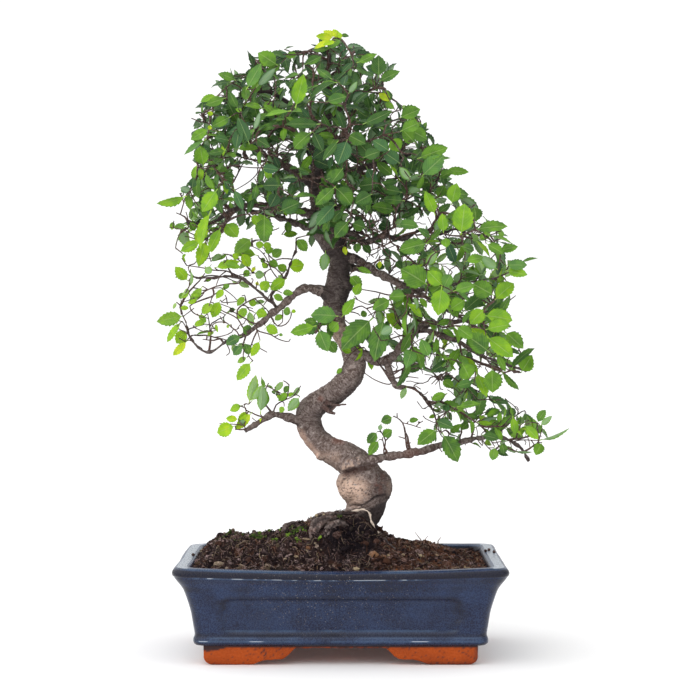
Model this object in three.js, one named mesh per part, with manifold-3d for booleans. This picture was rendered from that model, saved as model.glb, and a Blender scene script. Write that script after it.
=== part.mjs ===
// A Chinese elm bonsai with an S-shaped trunk, planted in a shallow glazed pot on four feet.
// Millimetres, +Z up, the front towards -Y. The origin is on the ground, under the middle of the plant's box.
import * as THREE from "three";
import { mergeVertices } from "three/addons/utils/BufferGeometryUtils.js";
import Module from "manifold-3d";

const wasm = await Module();
wasm.setup();

// Driving dimensions
const potWidth = 200;
const potDepth = 150;
const potHeight = 58;
const potCorner = 7;
const footHeight = 10.5;
const drainRadius = 7;
const drainOffset = 45;
const fitGap = 0.3;
const leafThickness = 0.8;

// How the plant was read from its picture, which is 700 pixels square and taken level from the front
const pictureMiddle = 350;
const pictureScale = 0.627; // mm to a pixel at the depth of the trunk
const viewDistance = 1395;
const viewHeight = 188;
const viewAcross = 5.6;

// A place seen at a pixel of the picture, at a depth in mm behind the trunk
function seen([across, down, depth]) {
  const scale = pictureScale * (1 + depth / viewDistance);
  return new THREE.Vector3(
    viewAcross + (across - pictureMiddle) * scale,
    depth,
    viewHeight + (pictureMiddle - down) * scale,
  );
}

// Solids
function solidOf(geometry) {
  const bare = geometry.index ? geometry.toNonIndexed() : geometry.clone();
  bare.deleteAttribute("normal");
  bare.deleteAttribute("uv");
  const merged = mergeVertices(bare, 1e-4);
  return new wasm.Manifold(
    new wasm.Mesh({
      numProp: 3,
      vertProperties: merged.attributes.position.array,
      triVerts: new Uint32Array(merged.index.array),
    }),
  );
}

function geometryOf(solid) {
  const mesh = solid.getMesh();
  return new THREE.BufferGeometry()
    .setAttribute("position", new THREE.BufferAttribute(mesh.vertProperties, 3))
    .setIndex(new THREE.BufferAttribute(mesh.triVerts, 1));
}

const nearestSteps = 80;

// A wooden limb: a cylinder bent along a curve, with a radius for each point of its route
class Limb {
  constructor(route, radii, sides, rings) {
    this.curve = new THREE.CatmullRomCurve3(route, false, "centripetal");
    this.radii = radii;
    this.sides = sides;
    this.rings = rings;
  }

  radiusAt(u) {
    const place = u * (this.radii.length - 1);
    const before = Math.min(Math.floor(place), this.radii.length - 2);
    return THREE.MathUtils.lerp(this.radii[before], this.radii[before + 1], place - before);
  }

  // The cross-section's two directions at each ring, carried along without twisting
  sections() {
    const found = [];
    let across = new THREE.Vector3(0, 1, 0);
    for (let ring = 0; ring <= this.rings; ring++) {
      const u = ring / this.rings;
      const tangent = this.curve.getTangent(u);
      across = across.clone().addScaledVector(tangent, -across.dot(tangent)).normalize();
      const other = new THREE.Vector3().crossVectors(across, tangent);
      found.push({ centre: this.curve.getPoint(u), across, other, radius: this.radiusAt(u) });
    }
    return found;
  }

  solid(extra = 0) {
    const sections = this.sections();
    const geometry = new THREE.CylinderGeometry(1, 1, 1, this.sides, this.rings);
    const position = geometry.attributes.position;
    for (let i = 0; i < position.count; i++) {
      const ring = Math.round((position.getY(i) + 0.5) * this.rings);
      const { centre, across, other, radius } = sections[ring];
      const point = centre
        .clone()
        .addScaledVector(across, position.getX(i) * (radius + extra))
        .addScaledVector(other, position.getZ(i) * (radius + extra));
      position.setXYZ(i, point.x, point.y, point.z);
    }
    return solidOf(geometry);
  }

  // The point of the centre line that shows nearest to a place in the picture
  nearest(place) {
    let best = null;
    for (let step = 0; step <= nearestSteps; step++) {
      const point = this.curve.getPoint(step / nearestSteps);
      const apart = Math.hypot(point.x - place.x, point.z - place.z);
      if (!best || apart < best.apart) best = { apart, point };
    }
    return best;
  }
}

// The pot, as lathe profiles carried round a rounded rectangle
const cornerSteps = 4;

function rectangleLathe(profile) {
  const around = 4 * (cornerSteps + 1);
  const points = profile.map(([radius, height]) => new THREE.Vector2(radius, height));
  const geometry = new THREE.LatheGeometry(points, around);
  const position = geometry.attributes.position;
  const sideDifference = (potWidth - potDepth) / 2;
  for (let i = 0; i < position.count; i++) {
    const column = Math.floor(i / profile.length) % around;
    const [radius, height] = profile[i % profile.length];
    const corner = Math.floor(column / (cornerSteps + 1));
    const turn = (corner + (column % (cornerSteps + 1)) / cornerSteps) * (Math.PI / 2);
    const signX = corner === 0 || corner === 3 ? 1 : -1;
    const signY = corner < 2 ? 1 : -1;
    const x = signX * (radius - potCorner) + potCorner * Math.cos(turn);
    const y = signY * (radius - sideDifference - potCorner) + potCorner * Math.sin(turn);
    const onAxis = radius === 0;
    position.setXYZ(i, onAxis ? 0 : x, onAxis ? 0 : y, height);
  }
  return solidOf(geometry);
}

const rimHalf = potWidth / 2;
const wallThickness = 8;
const floorTop = footHeight + 6;
const rimWidth = 10.5;
const outerProfile = [
  [rimHalf - 13.6, footHeight],
  [rimHalf - 11.7, 12.4],
  [rimHalf - 11.7, 14.4],
  [rimHalf - 12.4, 17],
  [rimHalf - 10.9, 27],
  [rimHalf - 9.3, 34.5],
  [rimHalf - 7.2, 41.6],
  [rimHalf - 5.1, 46.4],
  [rimHalf - 1.5, 51.6],
  [rimHalf, 54.2],
  [rimHalf - 0.5, 56.3],
  [rimHalf - 3.5, potHeight],
];
const innerProfile = [
  [rimHalf - rimWidth, potHeight - 0.6],
  [rimHalf - 12.4, 50],
  [rimHalf - 12 - wallThickness, 22],
  [rimHalf - 15 - wallThickness, floorTop],
];

function cavitySolid(gap) {
  const wall = innerProfile.map(([radius, height]) => [radius - gap, height]);
  const above = potHeight + 40; // higher than the soil's heap
  const floor = floorTop + gap;
  const top = [[0, above], [rimHalf - rimWidth - gap, above]];
  return rectangleLathe([...top, ...wall.slice(0, -1), [wall.at(-1)[0], floor], [0, floor]].reverse());
}

// A recessed panel with rounded corners, cut into a wall that leans outwards
const panelHeight = 21.5;
const panelMiddle = 28.5;
const panelDepth = 1;
const panelCorner = 5;
const panelHalfLength = { front: 73, side: 47 };
const panelFaceInset = 10.6; // from the rim to the wall, at the middle of a panel
const wallLean = Math.atan2(4.2, 22);

function panelCutter(halfLength, halfSpan, turn) {
  const corner = panelCorner;
  const half = panelHeight / 2;
  const outline = new THREE.Shape();
  outline.moveTo(-halfLength + corner, -half);
  outline.lineTo(halfLength - corner, -half);
  outline.absarc(halfLength - corner, -half + corner, corner, -Math.PI / 2, 0);
  outline.absarc(halfLength - corner, half - corner, corner, 0, Math.PI / 2);
  outline.absarc(-halfLength + corner, half - corner, corner, Math.PI / 2, Math.PI);
  outline.absarc(-halfLength + corner, -half + corner, corner, Math.PI, 1.5 * Math.PI);
  const geometry = new THREE.ExtrudeGeometry(outline, { depth: 12, bevelEnabled: false, curveSegments: 3 });
  geometry.translate(0, 0, -panelDepth);
  geometry.rotateX(Math.PI / 2 - wallLean);
  geometry.translate(0, -halfSpan, panelMiddle);
  geometry.rotateZ(turn);
  return solidOf(geometry);
}

// A corner foot: two short walls that meet at the corner, each ending in a curved step
const footWall = 12;
const footInset = { side: 18.2, front: 13.9 }; // from the rim to a foot's outer face
const footLength = 56;
const footSideLength = 32;

function footLeg(length, cornerX, cornerY, turn) {
  const outline = new THREE.Shape();
  outline.moveTo(0, footHeight + 1);
  outline.lineTo(0, 3);
  outline.quadraticCurveTo(0.4, 0, 3.5, 0);
  outline.lineTo(length * 0.45, 0);
  outline.quadraticCurveTo(length * 0.56, 0.3, length * 0.62, 3.4);
  outline.lineTo(length * 0.82, 3.6);
  outline.quadraticCurveTo(length * 0.9, 5.5, length, footHeight + 1);
  const geometry = new THREE.ExtrudeGeometry(outline, { depth: footWall, bevelEnabled: false, curveSegments: 3 });
  geometry.rotateX(Math.PI / 2);
  geometry.rotateZ(turn);
  geometry.translate(cornerX, cornerY, 0);
  return geometry;
}

function footSolid(signX, signY) {
  const cornerX = rimHalf - footInset.side;
  const cornerY = potDepth / 2 - footInset.front;
  const along = footLeg(footLength, -cornerX, -cornerY + footWall, 0);
  const side = footLeg(footSideLength, -cornerX, -cornerY, Math.PI / 2);
  const solid = solidOf(along).add(solidOf(side));
  const placed = signX > 0 ? solid.mirror([1, 0, 0]) : solid;
  return signY > 0 ? placed.mirror([0, 1, 0]) : placed;
}

function potSolid() {
  const profile = [[0, footHeight], ...outerProfile, ...innerProfile, [0, floorTop]];
  let pot = rectangleLathe(profile);
  const frontSpan = potDepth / 2 - panelFaceInset;
  const sideSpan = potWidth / 2 - panelFaceInset;
  for (const [halfLength, span, turn] of [
    [panelHalfLength.front, frontSpan, 0],
    [panelHalfLength.side, sideSpan, Math.PI / 2],
    [panelHalfLength.front, frontSpan, Math.PI],
    [panelHalfLength.side, sideSpan, -Math.PI / 2],
  ])
    pot = pot.subtract(panelCutter(halfLength, span, turn));
  for (const signX of [-1, 1]) {
    for (const signY of [-1, 1]) pot = pot.add(footSolid(signX, signY));
    const drain = new THREE.CylinderGeometry(drainRadius, drainRadius, 30, 20);
    drain.rotateX(Math.PI / 2);
    drain.translate(signX * drainOffset, 0, floorTop);
    pot = pot.subtract(solidOf(drain));
  }
  return pot;
}

// A plastic mesh screen over each drain hole
const screenSide = 22;
const screenBar = 0.9;
const screenOpenings = 3;

function screenSolid(sign) {
  const pitch = (screenSide - screenBar) / screenOpenings;
  const bars = [];
  for (let i = 0; i <= screenOpenings; i++) {
    const place = -screenSide / 2 + screenBar / 2 + i * pitch;
    bars.push(new THREE.BoxGeometry(screenBar, screenSide, 1).translate(place, 0, 0));
    bars.push(new THREE.BoxGeometry(screenSide, screenBar, 1).translate(0, place, 0));
  }
  const solids = bars.map((bar) => solidOf(bar.translate(sign * drainOffset, 0, floorTop + fitGap + 0.5)));
  return solids.reduce((joined, bar) => joined.add(bar));
}

// The soil: a heap that is higher on the left and against the trunk
const soilEdge = 56.5;
const soilRidge = [
  [-90, 57], [-83, 66], [-74, 72.5], [-61, 74], [-48, 73.5], [-34, 79], [-20, 84], [-5, 86],
  [12, 86], [20, 81], [27, 74], [36, 70.5], [52, 68.4], [63, 65.6], [76, 61], [90, 57],
];

function soilHeight(x, y) {
  const after = Math.max(1, soilRidge.findIndex(([place]) => place > x));
  const [x0, z0] = soilRidge[after - 1];
  const [x1, z1] = soilRidge[after] ?? soilRidge.at(-1);
  const ridge = THREE.MathUtils.mapLinear(THREE.MathUtils.clamp(x, x0, x1), x0, x1, z0, z1);
  const towardsWall = THREE.MathUtils.smoothstep(Math.abs(y), 14, potDepth / 2 - 10);
  return soilEdge + (ridge - soilEdge) * (1 - towardsWall);
}

function soilSolid() {
  const columns = 16;
  const rows = 9;
  const width = potWidth - 14;
  const depth = potDepth - 14;
  const geometry = new THREE.BoxGeometry(width, depth, 2, columns, rows, 1);
  const position = geometry.attributes.position;
  for (let i = 0; i < position.count; i++) {
    const x = position.getX(i);
    const y = position.getY(i);
    position.setZ(i, position.getZ(i) > 0 ? soilHeight(x, y) : floorTop - 1);
  }
  return solidOf(geometry).intersect(cavitySolid(fitGap));
}

// The trunk, in points of the picture with a depth, then the radius in mm at each
const trunkRoute = [
  [360, 540, 0], [364, 522, 0], [366, 503, 0], [364, 487, 0], [358, 473, 0], [347, 461, 0], [331, 449, 0],
  [317, 437, 2], [309.5, 424, 3], [309, 412, 3], [318, 401, 2], [337.5, 389, 0], [351, 373, -2], [354, 358, -3],
  [346, 341, -2], [336.5, 325, 0], [334, 306, 2], [337, 290, 3], [339, 273, 3], [339, 258, 3], [334, 243, 3],
  [329, 226, 4], [321, 205, 6], [316, 184, 7], [319, 162, 6], [324, 135, 4], [329, 105, 2], [328, 75, 0],
  [330, 52, 0],
];
const trunkRadii = [
  9.5, 10.5, 13, 15.4, 13.5, 12, 11.3, 10.3, 8.8, 8.2, 8.2, 8.5, 8.2, 6.9, 5.9, 5.7, 7, 8, 7, 6.4, 8.2, 7, 5.6, 5,
  4.2, 3.4, 2.6, 1.8, 1,
];
const burls = [
  { place: [349, 486, -3], radius: 10.5, stretch: [0.95, 1, 0.95] },
  { place: [379, 488, 1], radius: 9, stretch: [0.85, 1.05, 1.25] },
  { place: [345, 284, 1], radius: 5, stretch: [1, 1, 1] },
];
// Main roots spread inside the soil, and one thin root shows at the foot of the trunk
const rootRoutes = [
  { route: [[352, 512, 2], [338, 527, -14], [318, 548, -26]], radii: [7, 4.6, 2.2] },
  { route: [[370, 518, -3], [380, 538, -14], [396, 556, -24]], radii: [6, 3.6, 1.8] },
  { route: [[358, 514, 5], [352, 538, 22], [348, 560, 38]], radii: [6.5, 4, 2] },
  { route: [[360, 503, -6], [362, 508, -14.5], [369, 518, -18], [375, 530, -21], [383, 548, -22]],
    radii: [1.6, 1.3, 1.2, 1, 0.9] },
];

const trunkLimb = new Limb(trunkRoute.map(seen), trunkRadii, 10, 40);

function trunkSolid(extra = 0) {
  let trunk = trunkLimb.solid(extra);
  for (const { place, radius, stretch } of burls) {
    const geometry = new THREE.SphereGeometry(radius + extra, 8, 6);
    geometry.scale(...stretch);
    const centre = seen(place);
    geometry.translate(centre.x, centre.y, centre.z);
    trunk = trunk.add(solidOf(geometry));
  }
  for (const { route, radii } of rootRoutes)
    trunk = trunk.add(new Limb(route.map(seen), radii, 6, 4).solid(extra));
  return trunk;
}

// Branches, all grown from the trunk. A limb's first point lies inside the trunk or the branch's first limb.
const branches = {
  left_branch: [
    { route: [[334, 293, 2], [322, 288, -2], [308, 287, -6], [296, 293, -10], [284, 304, -13], [270, 315, -16],
        [257, 326, -17], [244, 335, -15], [228, 341, -11], [209, 352, -6], [197, 346, 0], [189, 335, 5],
        [186, 322, 8]],
      radii: [3.2, 3, 2.6, 2.5, 2.3, 2.1, 2, 1.7, 1.4, 1.1, 0.9, 0.8, 0.7] },
    { route: [[277, 309, -14.5], [271, 297, -13], [278, 286, -11], [287, 274, -9], [291, 262, -7],
        [296, 251, -5]],
      radii: [1.2, 1, 0.9, 0.8, 0.7, 0.6] },
    { route: [[282, 305.5, -13.5], [267, 297, -19], [257, 290, -21], [246, 281, -21], [230, 276, -18],
        [212, 278, -13], [196, 278, -8]],
      radii: [1.2, 1, 0.9, 0.9, 0.8, 0.7, 0.6] },
  ],
  lower_left_branch: [
    { route: [[308, 422, 1], [297, 420, -1], [284, 416, -4], [273, 414, -7], [264, 419, -9], [255, 425, -11],
        [245, 431, -12]],
      radii: [3.2, 2.8, 2.2, 2, 1.8, 1.7, 1.6] },
  ],
  lower_right_branch: [
    { route: [[345, 467, -8], [354, 463, -15], [368, 460, -16], [389, 456.5, -14], [419, 451.6, -12],
        [438, 446, -10], [456, 443, -6], [478, 438, 0], [493, 436, 4], [506, 439, 6], [520, 447, 8],
        [529, 461, 10]],
      radii: [3.4, 3.2, 2.8, 2.5, 2.4, 2.2, 1.9, 1.5, 1.2, 1.1, 1, 0.8] },
  ],
  right_branch: [
    { route: [[354, 352, -3], [366, 355, -6], [376, 361, -9], [386, 361, -11], [395, 354, -12], [406, 341, -13],
        [419, 327, -13], [440, 322, -10], [469, 320, -5], [490, 311, 0], [510, 301, 4]],
      radii: [3, 2.8, 2.9, 2.9, 2.7, 2.5, 2.2, 1.5, 1.1, 0.8, 0.6] },
    { route: [[386, 361, -11], [390, 373, -11], [397, 386, -10], [412, 388, -8], [428, 402, -6], [435, 416, -4]],
      radii: [2.6, 2.1, 1.7, 0.9, 0.8, 0.6] },
    { route: [[419, 327, -13], [436, 334, -16], [457, 341, -17], [474, 352, -15], [494, 360, -10],
        [526, 371, -2]],
      radii: [1.8, 1.4, 1.2, 1, 0.8, 0.6] },
  ],
  right_upper_branch: [
    { route: [[340, 256, 3], [355, 259, 0], [369, 268, -3], [384, 276, -6], [403, 287, -10], [425, 290, -13],
        [450, 285, -14], [478, 281, -11], [503, 277, -6]],
      radii: [3, 2.6, 2.3, 2.2, 1.8, 1.4, 1.1, 0.9, 0.6] },
  ],
  right_high_branch: [
    { route: [[333, 238, 2], [351, 236, -6], [370, 240, -12], [390, 239, -15], [413, 234, -16], [440, 232, -13],
        [470, 233, -7], [490, 235, -2]],
      radii: [2.8, 2.3, 1.9, 1.6, 1.3, 1.1, 0.8, 0.6] },
  ],
  right_back_branch: [
    { route: [[339, 268, 4], [358, 268, 16], [390, 278, 32], [424, 296, 44], [455, 314, 50], [478, 328, 52]],
      radii: [2.8, 2.3, 1.8, 1.4, 1, 0.7] },
  ],
  left_low_crown_branch: [
    { route: [[326, 220, 4], [306, 213, -2], [284, 208, -8], [262, 205, -12], [241, 207, -14], [225, 215, -13],
        [208, 224, -10], [187, 222, -7]],
      radii: [3, 2.5, 2.2, 2, 1.6, 1.3, 1, 0.6] },
  ],
  left_crown_branch: [
    { route: [[317, 188, 6], [301, 175, 2], [284, 165, -4], [270, 158, -9], [254, 148, -13], [236, 141, -15],
        [216, 136, -14], [202, 138, -12]],
      radii: [3, 2.4, 2, 1.8, 1.5, 1.2, 0.9, 0.6] },
  ],
  left_top_branch: [
    { route: [[323, 142, 4], [306, 119, 4], [286, 101, 2], [263, 91, 0], [242, 97, -3], [224, 104, -5]],
      radii: [2.4, 1.9, 1.5, 1.2, 0.9, 0.6] },
  ],
  right_top_branch: [
    { route: [[326, 122, 3], [344, 105, 2], [364, 93, 0], [384, 85, -2]], radii: [2, 1.6, 1.1, 0.6] },
  ],
  right_crown_branch: [
    { route: [[317, 186, 7], [343, 175, 6], [367, 167, 3], [392, 160, -1], [415, 153, -5], [434, 152, -8]],
      radii: [2.8, 2.2, 1.8, 1.4, 1, 0.6] },
  ],
  front_crown_branch: [
    { route: [[317, 176, 7], [322, 160, -12], [330, 148, -30], [342, 138, -46]], radii: [2.6, 2, 1.4, 0.7] },
    { route: [[323, 158, -14], [310, 146, -30], [296, 132, -42]], radii: [1.6, 1.1, 0.6] },
  ],
  back_crown_branch: [
    { route: [[318, 196, 6], [316, 180, 24], [310, 158, 42], [300, 136, 54]], radii: [3, 2.3, 1.6, 0.7] },
    { route: [[314, 172, 31], [332, 148, 46], [352, 126, 54]], radii: [1.7, 1.2, 0.6] },
  ],
  back_right_branch: [
    { route: [[325, 214, 5], [348, 203, 24], [378, 194, 40], [408, 194, 50], [432, 202, 54]],
      radii: [2.8, 2.2, 1.6, 1.1, 0.6] },
  ],
  back_left_branch: [
    { route: [[331, 232, 4], [304, 226, 22], [274, 216, 40], [246, 210, 50], [226, 208, 54]],
      radii: [2.8, 2.2, 1.6, 1.1, 0.6] },
  ],
};

// Leafy twigs: what each grows from, where it leaves that in the picture, where its last leaf ends, and the size
// of its leaves in mm
const twigs = {
  twig_left_tip: { on: "left_branch", at: [188, 334], tip: [164, 319, 12], leaf: 12 },
  twig_left_outer: { on: "left_branch", at: [198, 278], tip: [176, 271, -2], leaf: 12 },
  twig_left_rise: { on: "left_branch", at: [234, 277], tip: [222, 243, -34], leaf: 13 },
  twig_left_middle: { on: "left_branch", at: [258, 325], tip: [216, 304, -36], leaf: 13 },
  twig_left_hanging: { on: "left_branch", at: [247, 333], tip: [242, 376, -26], leaf: 13 },
  twig_left_inner: { on: "left_branch", at: [284, 278], tip: [252, 252, -24], leaf: 13 },
  twig_low_left_end: { on: "lower_left_branch", at: [250, 428], tip: [219, 431, -20], leaf: 14 },
  twig_low_left_upright: { on: "lower_left_branch", at: [273, 415], tip: [248, 378, -12], leaf: 14 },
  twig_low_right_first: { on: "lower_right_branch", at: [386, 457], tip: [379, 422, -20], leaf: 15 },
  twig_low_right_second: { on: "lower_right_branch", at: [407, 453], tip: [402, 408, -16], leaf: 15 },
  twig_low_right_hanging: { on: "lower_right_branch", at: [436, 447], tip: [452, 460, -32], leaf: 18 },
  twig_low_right_rise: { on: "lower_right_branch", at: [470, 440], tip: [478, 398, 4], leaf: 17 },
  twig_low_right_outer: { on: "lower_right_branch", at: [494, 436], tip: [526, 406, 22], leaf: 16 },
  twig_low_right_end: { on: "lower_right_branch", at: [507, 440], tip: [562, 434, 8], leaf: 16 },
  twig_trunk_front: { on: "trunk", at: [342, 320], tip: [304, 338, -24], leaf: 15 },
  twig_right_near: { on: "right_branch", at: [407, 340], tip: [362, 342, -40], leaf: 20 },
  twig_right_middle: { on: "right_branch", at: [441, 322], tip: [452, 284, -34], leaf: 18 },
  twig_right_far: { on: "right_branch", at: [470, 320], tip: [512, 338, -22], leaf: 18 },
  twig_right_end: { on: "right_branch", at: [506, 303], tip: [531, 284, 2], leaf: 17 },
  twig_right_below: { on: "right_branch", at: [458, 342], tip: [470, 388, -26], leaf: 18 },
  twig_right_outer: { on: "right_branch", at: [512, 366], tip: [536, 358, 8], leaf: 17 },
  twig_right_stub: { on: "right_branch", at: [428, 402], tip: [456, 402, -22], leaf: 16 },
  twig_upper_right_first: { on: "right_upper_branch", at: [410, 289], tip: [404, 322, -36], leaf: 18 },
  twig_upper_right_end: { on: "right_upper_branch", at: [496, 279], tip: [534, 261, -6], leaf: 17 },
  twig_high_right_middle: { on: "right_high_branch", at: [428, 233], tip: [450, 196, -26], leaf: 18 },
  twig_high_right_end: { on: "right_high_branch", at: [482, 234], tip: [514, 222, 6], leaf: 17 },
  twig_back_right: { on: "right_back_branch", at: [456, 315], tip: [496, 318, 78], leaf: 17 },
  twig_left_low_crown: { on: "left_low_crown_branch", at: [232, 211], tip: [214, 248, -24], leaf: 15 },
  twig_left_low_end: { on: "left_low_crown_branch", at: [192, 223], tip: [160, 203, -4], leaf: 15 },
  twig_left_crown_end: { on: "left_crown_branch", at: [210, 137], tip: [188, 166, -16], leaf: 14 },
  twig_left_crown_front: { on: "left_crown_branch", at: [276, 160], tip: [262, 132, -44], leaf: 16 },
  twig_left_top: { on: "left_top_branch", at: [262, 91], tip: [250, 60, -10], leaf: 15 },
  twig_left_top_end: { on: "left_top_branch", at: [234, 100], tip: [200, 100, -12], leaf: 15 },
  twig_top: { on: "trunk", at: [328.5, 82], tip: [327, 34, -16], leaf: 14 },
  twig_right_top: { on: "right_top_branch", at: [378, 87], tip: [397, 70, 4], leaf: 15 },
  twig_right_crown: { on: "right_crown_branch", at: [416, 153], tip: [448, 140, -14], leaf: 16 },
  twig_front_crown: { on: "front_crown_branch", at: [340, 139], tip: [356, 116, -76], leaf: 17 },
  twig_back_crown: { on: "back_crown_branch", at: [302, 140], tip: [282, 112, 80], leaf: 17 },
  twig_back_left: { on: "back_left_branch", at: [246, 210], tip: [214, 222, 78], leaf: 17 },
};

const made = new Map(); // node name to its solid
const limbsOf = new Map([["trunk", [trunkLimb]]]);

// Whether a solid comes closer than the gap to any made so far, other than the one it grows from
function touches(solid, grownFrom) {
  return [...made].some(([name, other]) => name !== grownFrom && solid.minGap(other, fitGap) < fitGap * 0.9);
}

function largestPiece(solid) {
  return solid.decompose().sort((a, b) => b.volume() - a.volume())[0];
}

const branchSides = 6;
const ringsPerStretch = 1.4;

function buildBranch(name, rows) {
  const limbs = rows.map(({ route, radii }) => {
    const rings = Math.ceil(ringsPerStretch * (route.length - 1));
    return new Limb(route.map(seen), radii, branchSides, rings);
  });
  limbsOf.set(name, limbs);
  const branch = limbs.map((limb) => limb.solid()).reduce((joined, solid) => joined.add(solid));
  return largestPiece(branch.subtract(trunkSolid(fitGap)));
}

// A leaf is a thin six-sided plate that starts at the twig's centre line
const leafOutline = [[0, 0], [0.3, 0.257], [0.62, 0.3], [1, 0], [0.62, -0.3], [0.3, -0.257]];

function leafSolid(length, base, direction, normal) {
  const points = leafOutline.map(([along, across]) => new THREE.Vector2(along * length, across * length));
  const outline = new THREE.Shape(points);
  const geometry = new THREE.ExtrudeGeometry(outline, { depth: leafThickness, bevelEnabled: false });
  geometry.translate(0, 0, -leafThickness / 2);
  const x = direction.clone().normalize();
  const y = new THREE.Vector3().crossVectors(normal, x).normalize();
  const z = new THREE.Vector3().crossVectors(x, y);
  geometry.applyMatrix4(new THREE.Matrix4().makeBasis(x, y, z).setPosition(base));
  return solidOf(geometry);
}

const crownMiddle = seen([345, 230, 0]);
const leavesOnTwig = 6;
const goldenTurn = 2.39996;
const twigLimbs = new Map();

function parentSolid(from, gap) {
  if (from === "trunk") return trunkSolid(gap);
  const [first, ...rest] = limbsOf.get(from).map((limb) => limb.solid(gap));
  return rest.reduce((joined, solid) => joined.add(solid), first);
}

// The bare twig bows upwards, or another way where that is what keeps it clear of the rest
function buildTwig(name, { on, at, tip, leaf }) {
  const start = limbsOf
    .get(on)
    .map((limb) => limb.nearest(seen([...at, 0])))
    .sort((a, b) => a.apart - b.apart)[0].point;
  const reach = start.distanceTo(seen(tip));
  const end = start.clone().lerp(seen(tip), Math.max(0.4, 1 - (0.8 * leaf) / reach));
  const length = start.distanceTo(end);
  const forward = end.clone().sub(start).normalize();
  const parent = parentSolid(on, fitGap);
  for (let attempt = 0; attempt < 16; attempt++) {
    const bow = new THREE.Vector3(Math.sin(attempt * goldenTurn), Math.cos(attempt * goldenTurn), 1)
      .addScaledVector(forward, -forward.z)
      .multiplyScalar(length * (0.06 + 0.015 * attempt));
    const middle = start.clone().lerp(end, 0.5).add(bow);
    const limb = new Limb([start, middle, end], [0.8, 0.7, 0.5], 4, 3);
    const twig = limb.solid().subtract(parent);
    if (twig.decompose().length !== 1 || touches(twig, on)) continue;
    twigLimbs.set(name, limb);
    return twig;
  }
  throw new Error(name + " finds no clear way");
}

// Leaves stand on alternate sides of the twig and one ends it. Each is turned until it is clear of the rest.
function addLeaves(name, twig, leafLength) {
  const limb = twigLimbs.get(name);
  const start = limb.curve.getPoint(0);
  const forward = limb.curve.getPoint(1).sub(start).normalize();
  let leafy = twig;
  for (let i = 0; i < leavesOnTwig; i++) {
    const base = limb.curve.getPoint(0.97 - (0.8 * i) / leavesOnTwig);
    for (let attempt = 0; attempt < 9; attempt++) {
      const leaf = turnedLeaf(base, forward, leafLength, i, attempt);
      if (touches(leaf, name)) continue;
      leafy = leafy.add(leaf);
      break;
    }
  }
  return leafy;
}

// A leaf faces outwards from the crown, upwards, and to the front or back, whichever side its twig is on
function turnedLeaf(base, forward, leafLength, index, attempt) {
  const outward = base.clone().sub(crownMiddle).normalize();
  const facing = outward.multiplyScalar(0.7).add(new THREE.Vector3(0, base.y < 20 ? -0.6 : 0.6, 0.5)).normalize();
  const side = new THREE.Vector3().crossVectors(forward, facing).normalize();
  if (index % 2) side.negate();
  const [ahead, aside] = index === 0 ? [1, 0.15] : [0.6, 1];
  const direction = forward.clone().multiplyScalar(ahead).addScaledVector(side, aside);
  direction.applyAxisAngle(forward, attempt * goldenTurn * 0.5).normalize();
  const normal = facing.applyAxisAngle(direction, 0.6 * Math.sin(index * 3 + attempt));
  if (normal.clone().cross(direction).length() < 0.3) normal.copy(forward);
  return leafSolid(leafLength * (1 + 0.15 * Math.sin(index * 2.1)), base, direction, normal);
}

// Build in the order that each carries the next
made.set("pot", potSolid());
made.set("drain_screen_left", screenSolid(-1));
made.set("drain_screen_right", screenSolid(1));
made.set("trunk", trunkSolid());
for (const [name, rows] of Object.entries(branches)) made.set(name, buildBranch(name, rows));
for (const [name, twig] of Object.entries(twigs)) made.set(name, buildTwig(name, twig));
for (const [name, { leaf }] of Object.entries(twigs)) made.set(name, addLeaves(name, made.get(name), leaf));

const screenPockets = [-1, 1].map((sign) => {
  const pocket = new THREE.BoxGeometry(screenSide + 2 * fitGap, screenSide + 2 * fitGap, 6);
  pocket.translate(sign * drainOffset, 0, floorTop + 1 + 2 * fitGap - 3);
  return solidOf(pocket);
});
const soilRoundTrunk = soilSolid().subtract(trunkSolid(fitGap));
made.set("soil", largestPiece(screenPockets.reduce((soil, pocket) => soil.subtract(pocket), soilRoundTrunk)));

// Materials
const finishes = {
  glaze: new THREE.MeshStandardMaterial({ color: 0x1f3350, roughness: 0.25, metalness: 0 }),
  plastic: new THREE.MeshStandardMaterial({ color: 0x1a1a1a, roughness: 0.6, metalness: 0 }),
  soil: new THREE.MeshStandardMaterial({ color: 0x3a2a22, roughness: 1, metalness: 0 }),
  bark: new THREE.MeshStandardMaterial({ color: 0x7d6a5b, roughness: 0.85, metalness: 0 }),
  leaf: new THREE.MeshStandardMaterial({ color: 0x4a7a2c, roughness: 0.5, metalness: 0 }),
};

function finishOf(name) {
  if (name === "pot") return finishes.glaze;
  if (name === "soil") return finishes.soil;
  if (name.startsWith("drain_screen")) return finishes.plastic;
  return name.startsWith("twig") ? finishes.leaf : finishes.bark;
}

const plant = new THREE.Group();
for (const [name, solid] of made) {
  const mesh = new THREE.Mesh(geometryOf(solid.simplify(name.startsWith("twig") ? 0.05 : 0.01)), finishOf(name));
  mesh.name = name;
  plant.add(mesh);
}

// The origin goes under the middle of the whole plant
const whole = new THREE.Box3().setFromObject(plant);
plant.position.set(-(whole.min.x + whole.max.x) / 2, -(whole.min.y + whole.max.y) / 2, 0);

export default plant;
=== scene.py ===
# Chinese elm bonsai in a glazed pot. Metres, +Z up, the front towards -Y.
import math
import random

import bpy
import numpy as np
from mathutils import Matrix, Vector, noise


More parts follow.
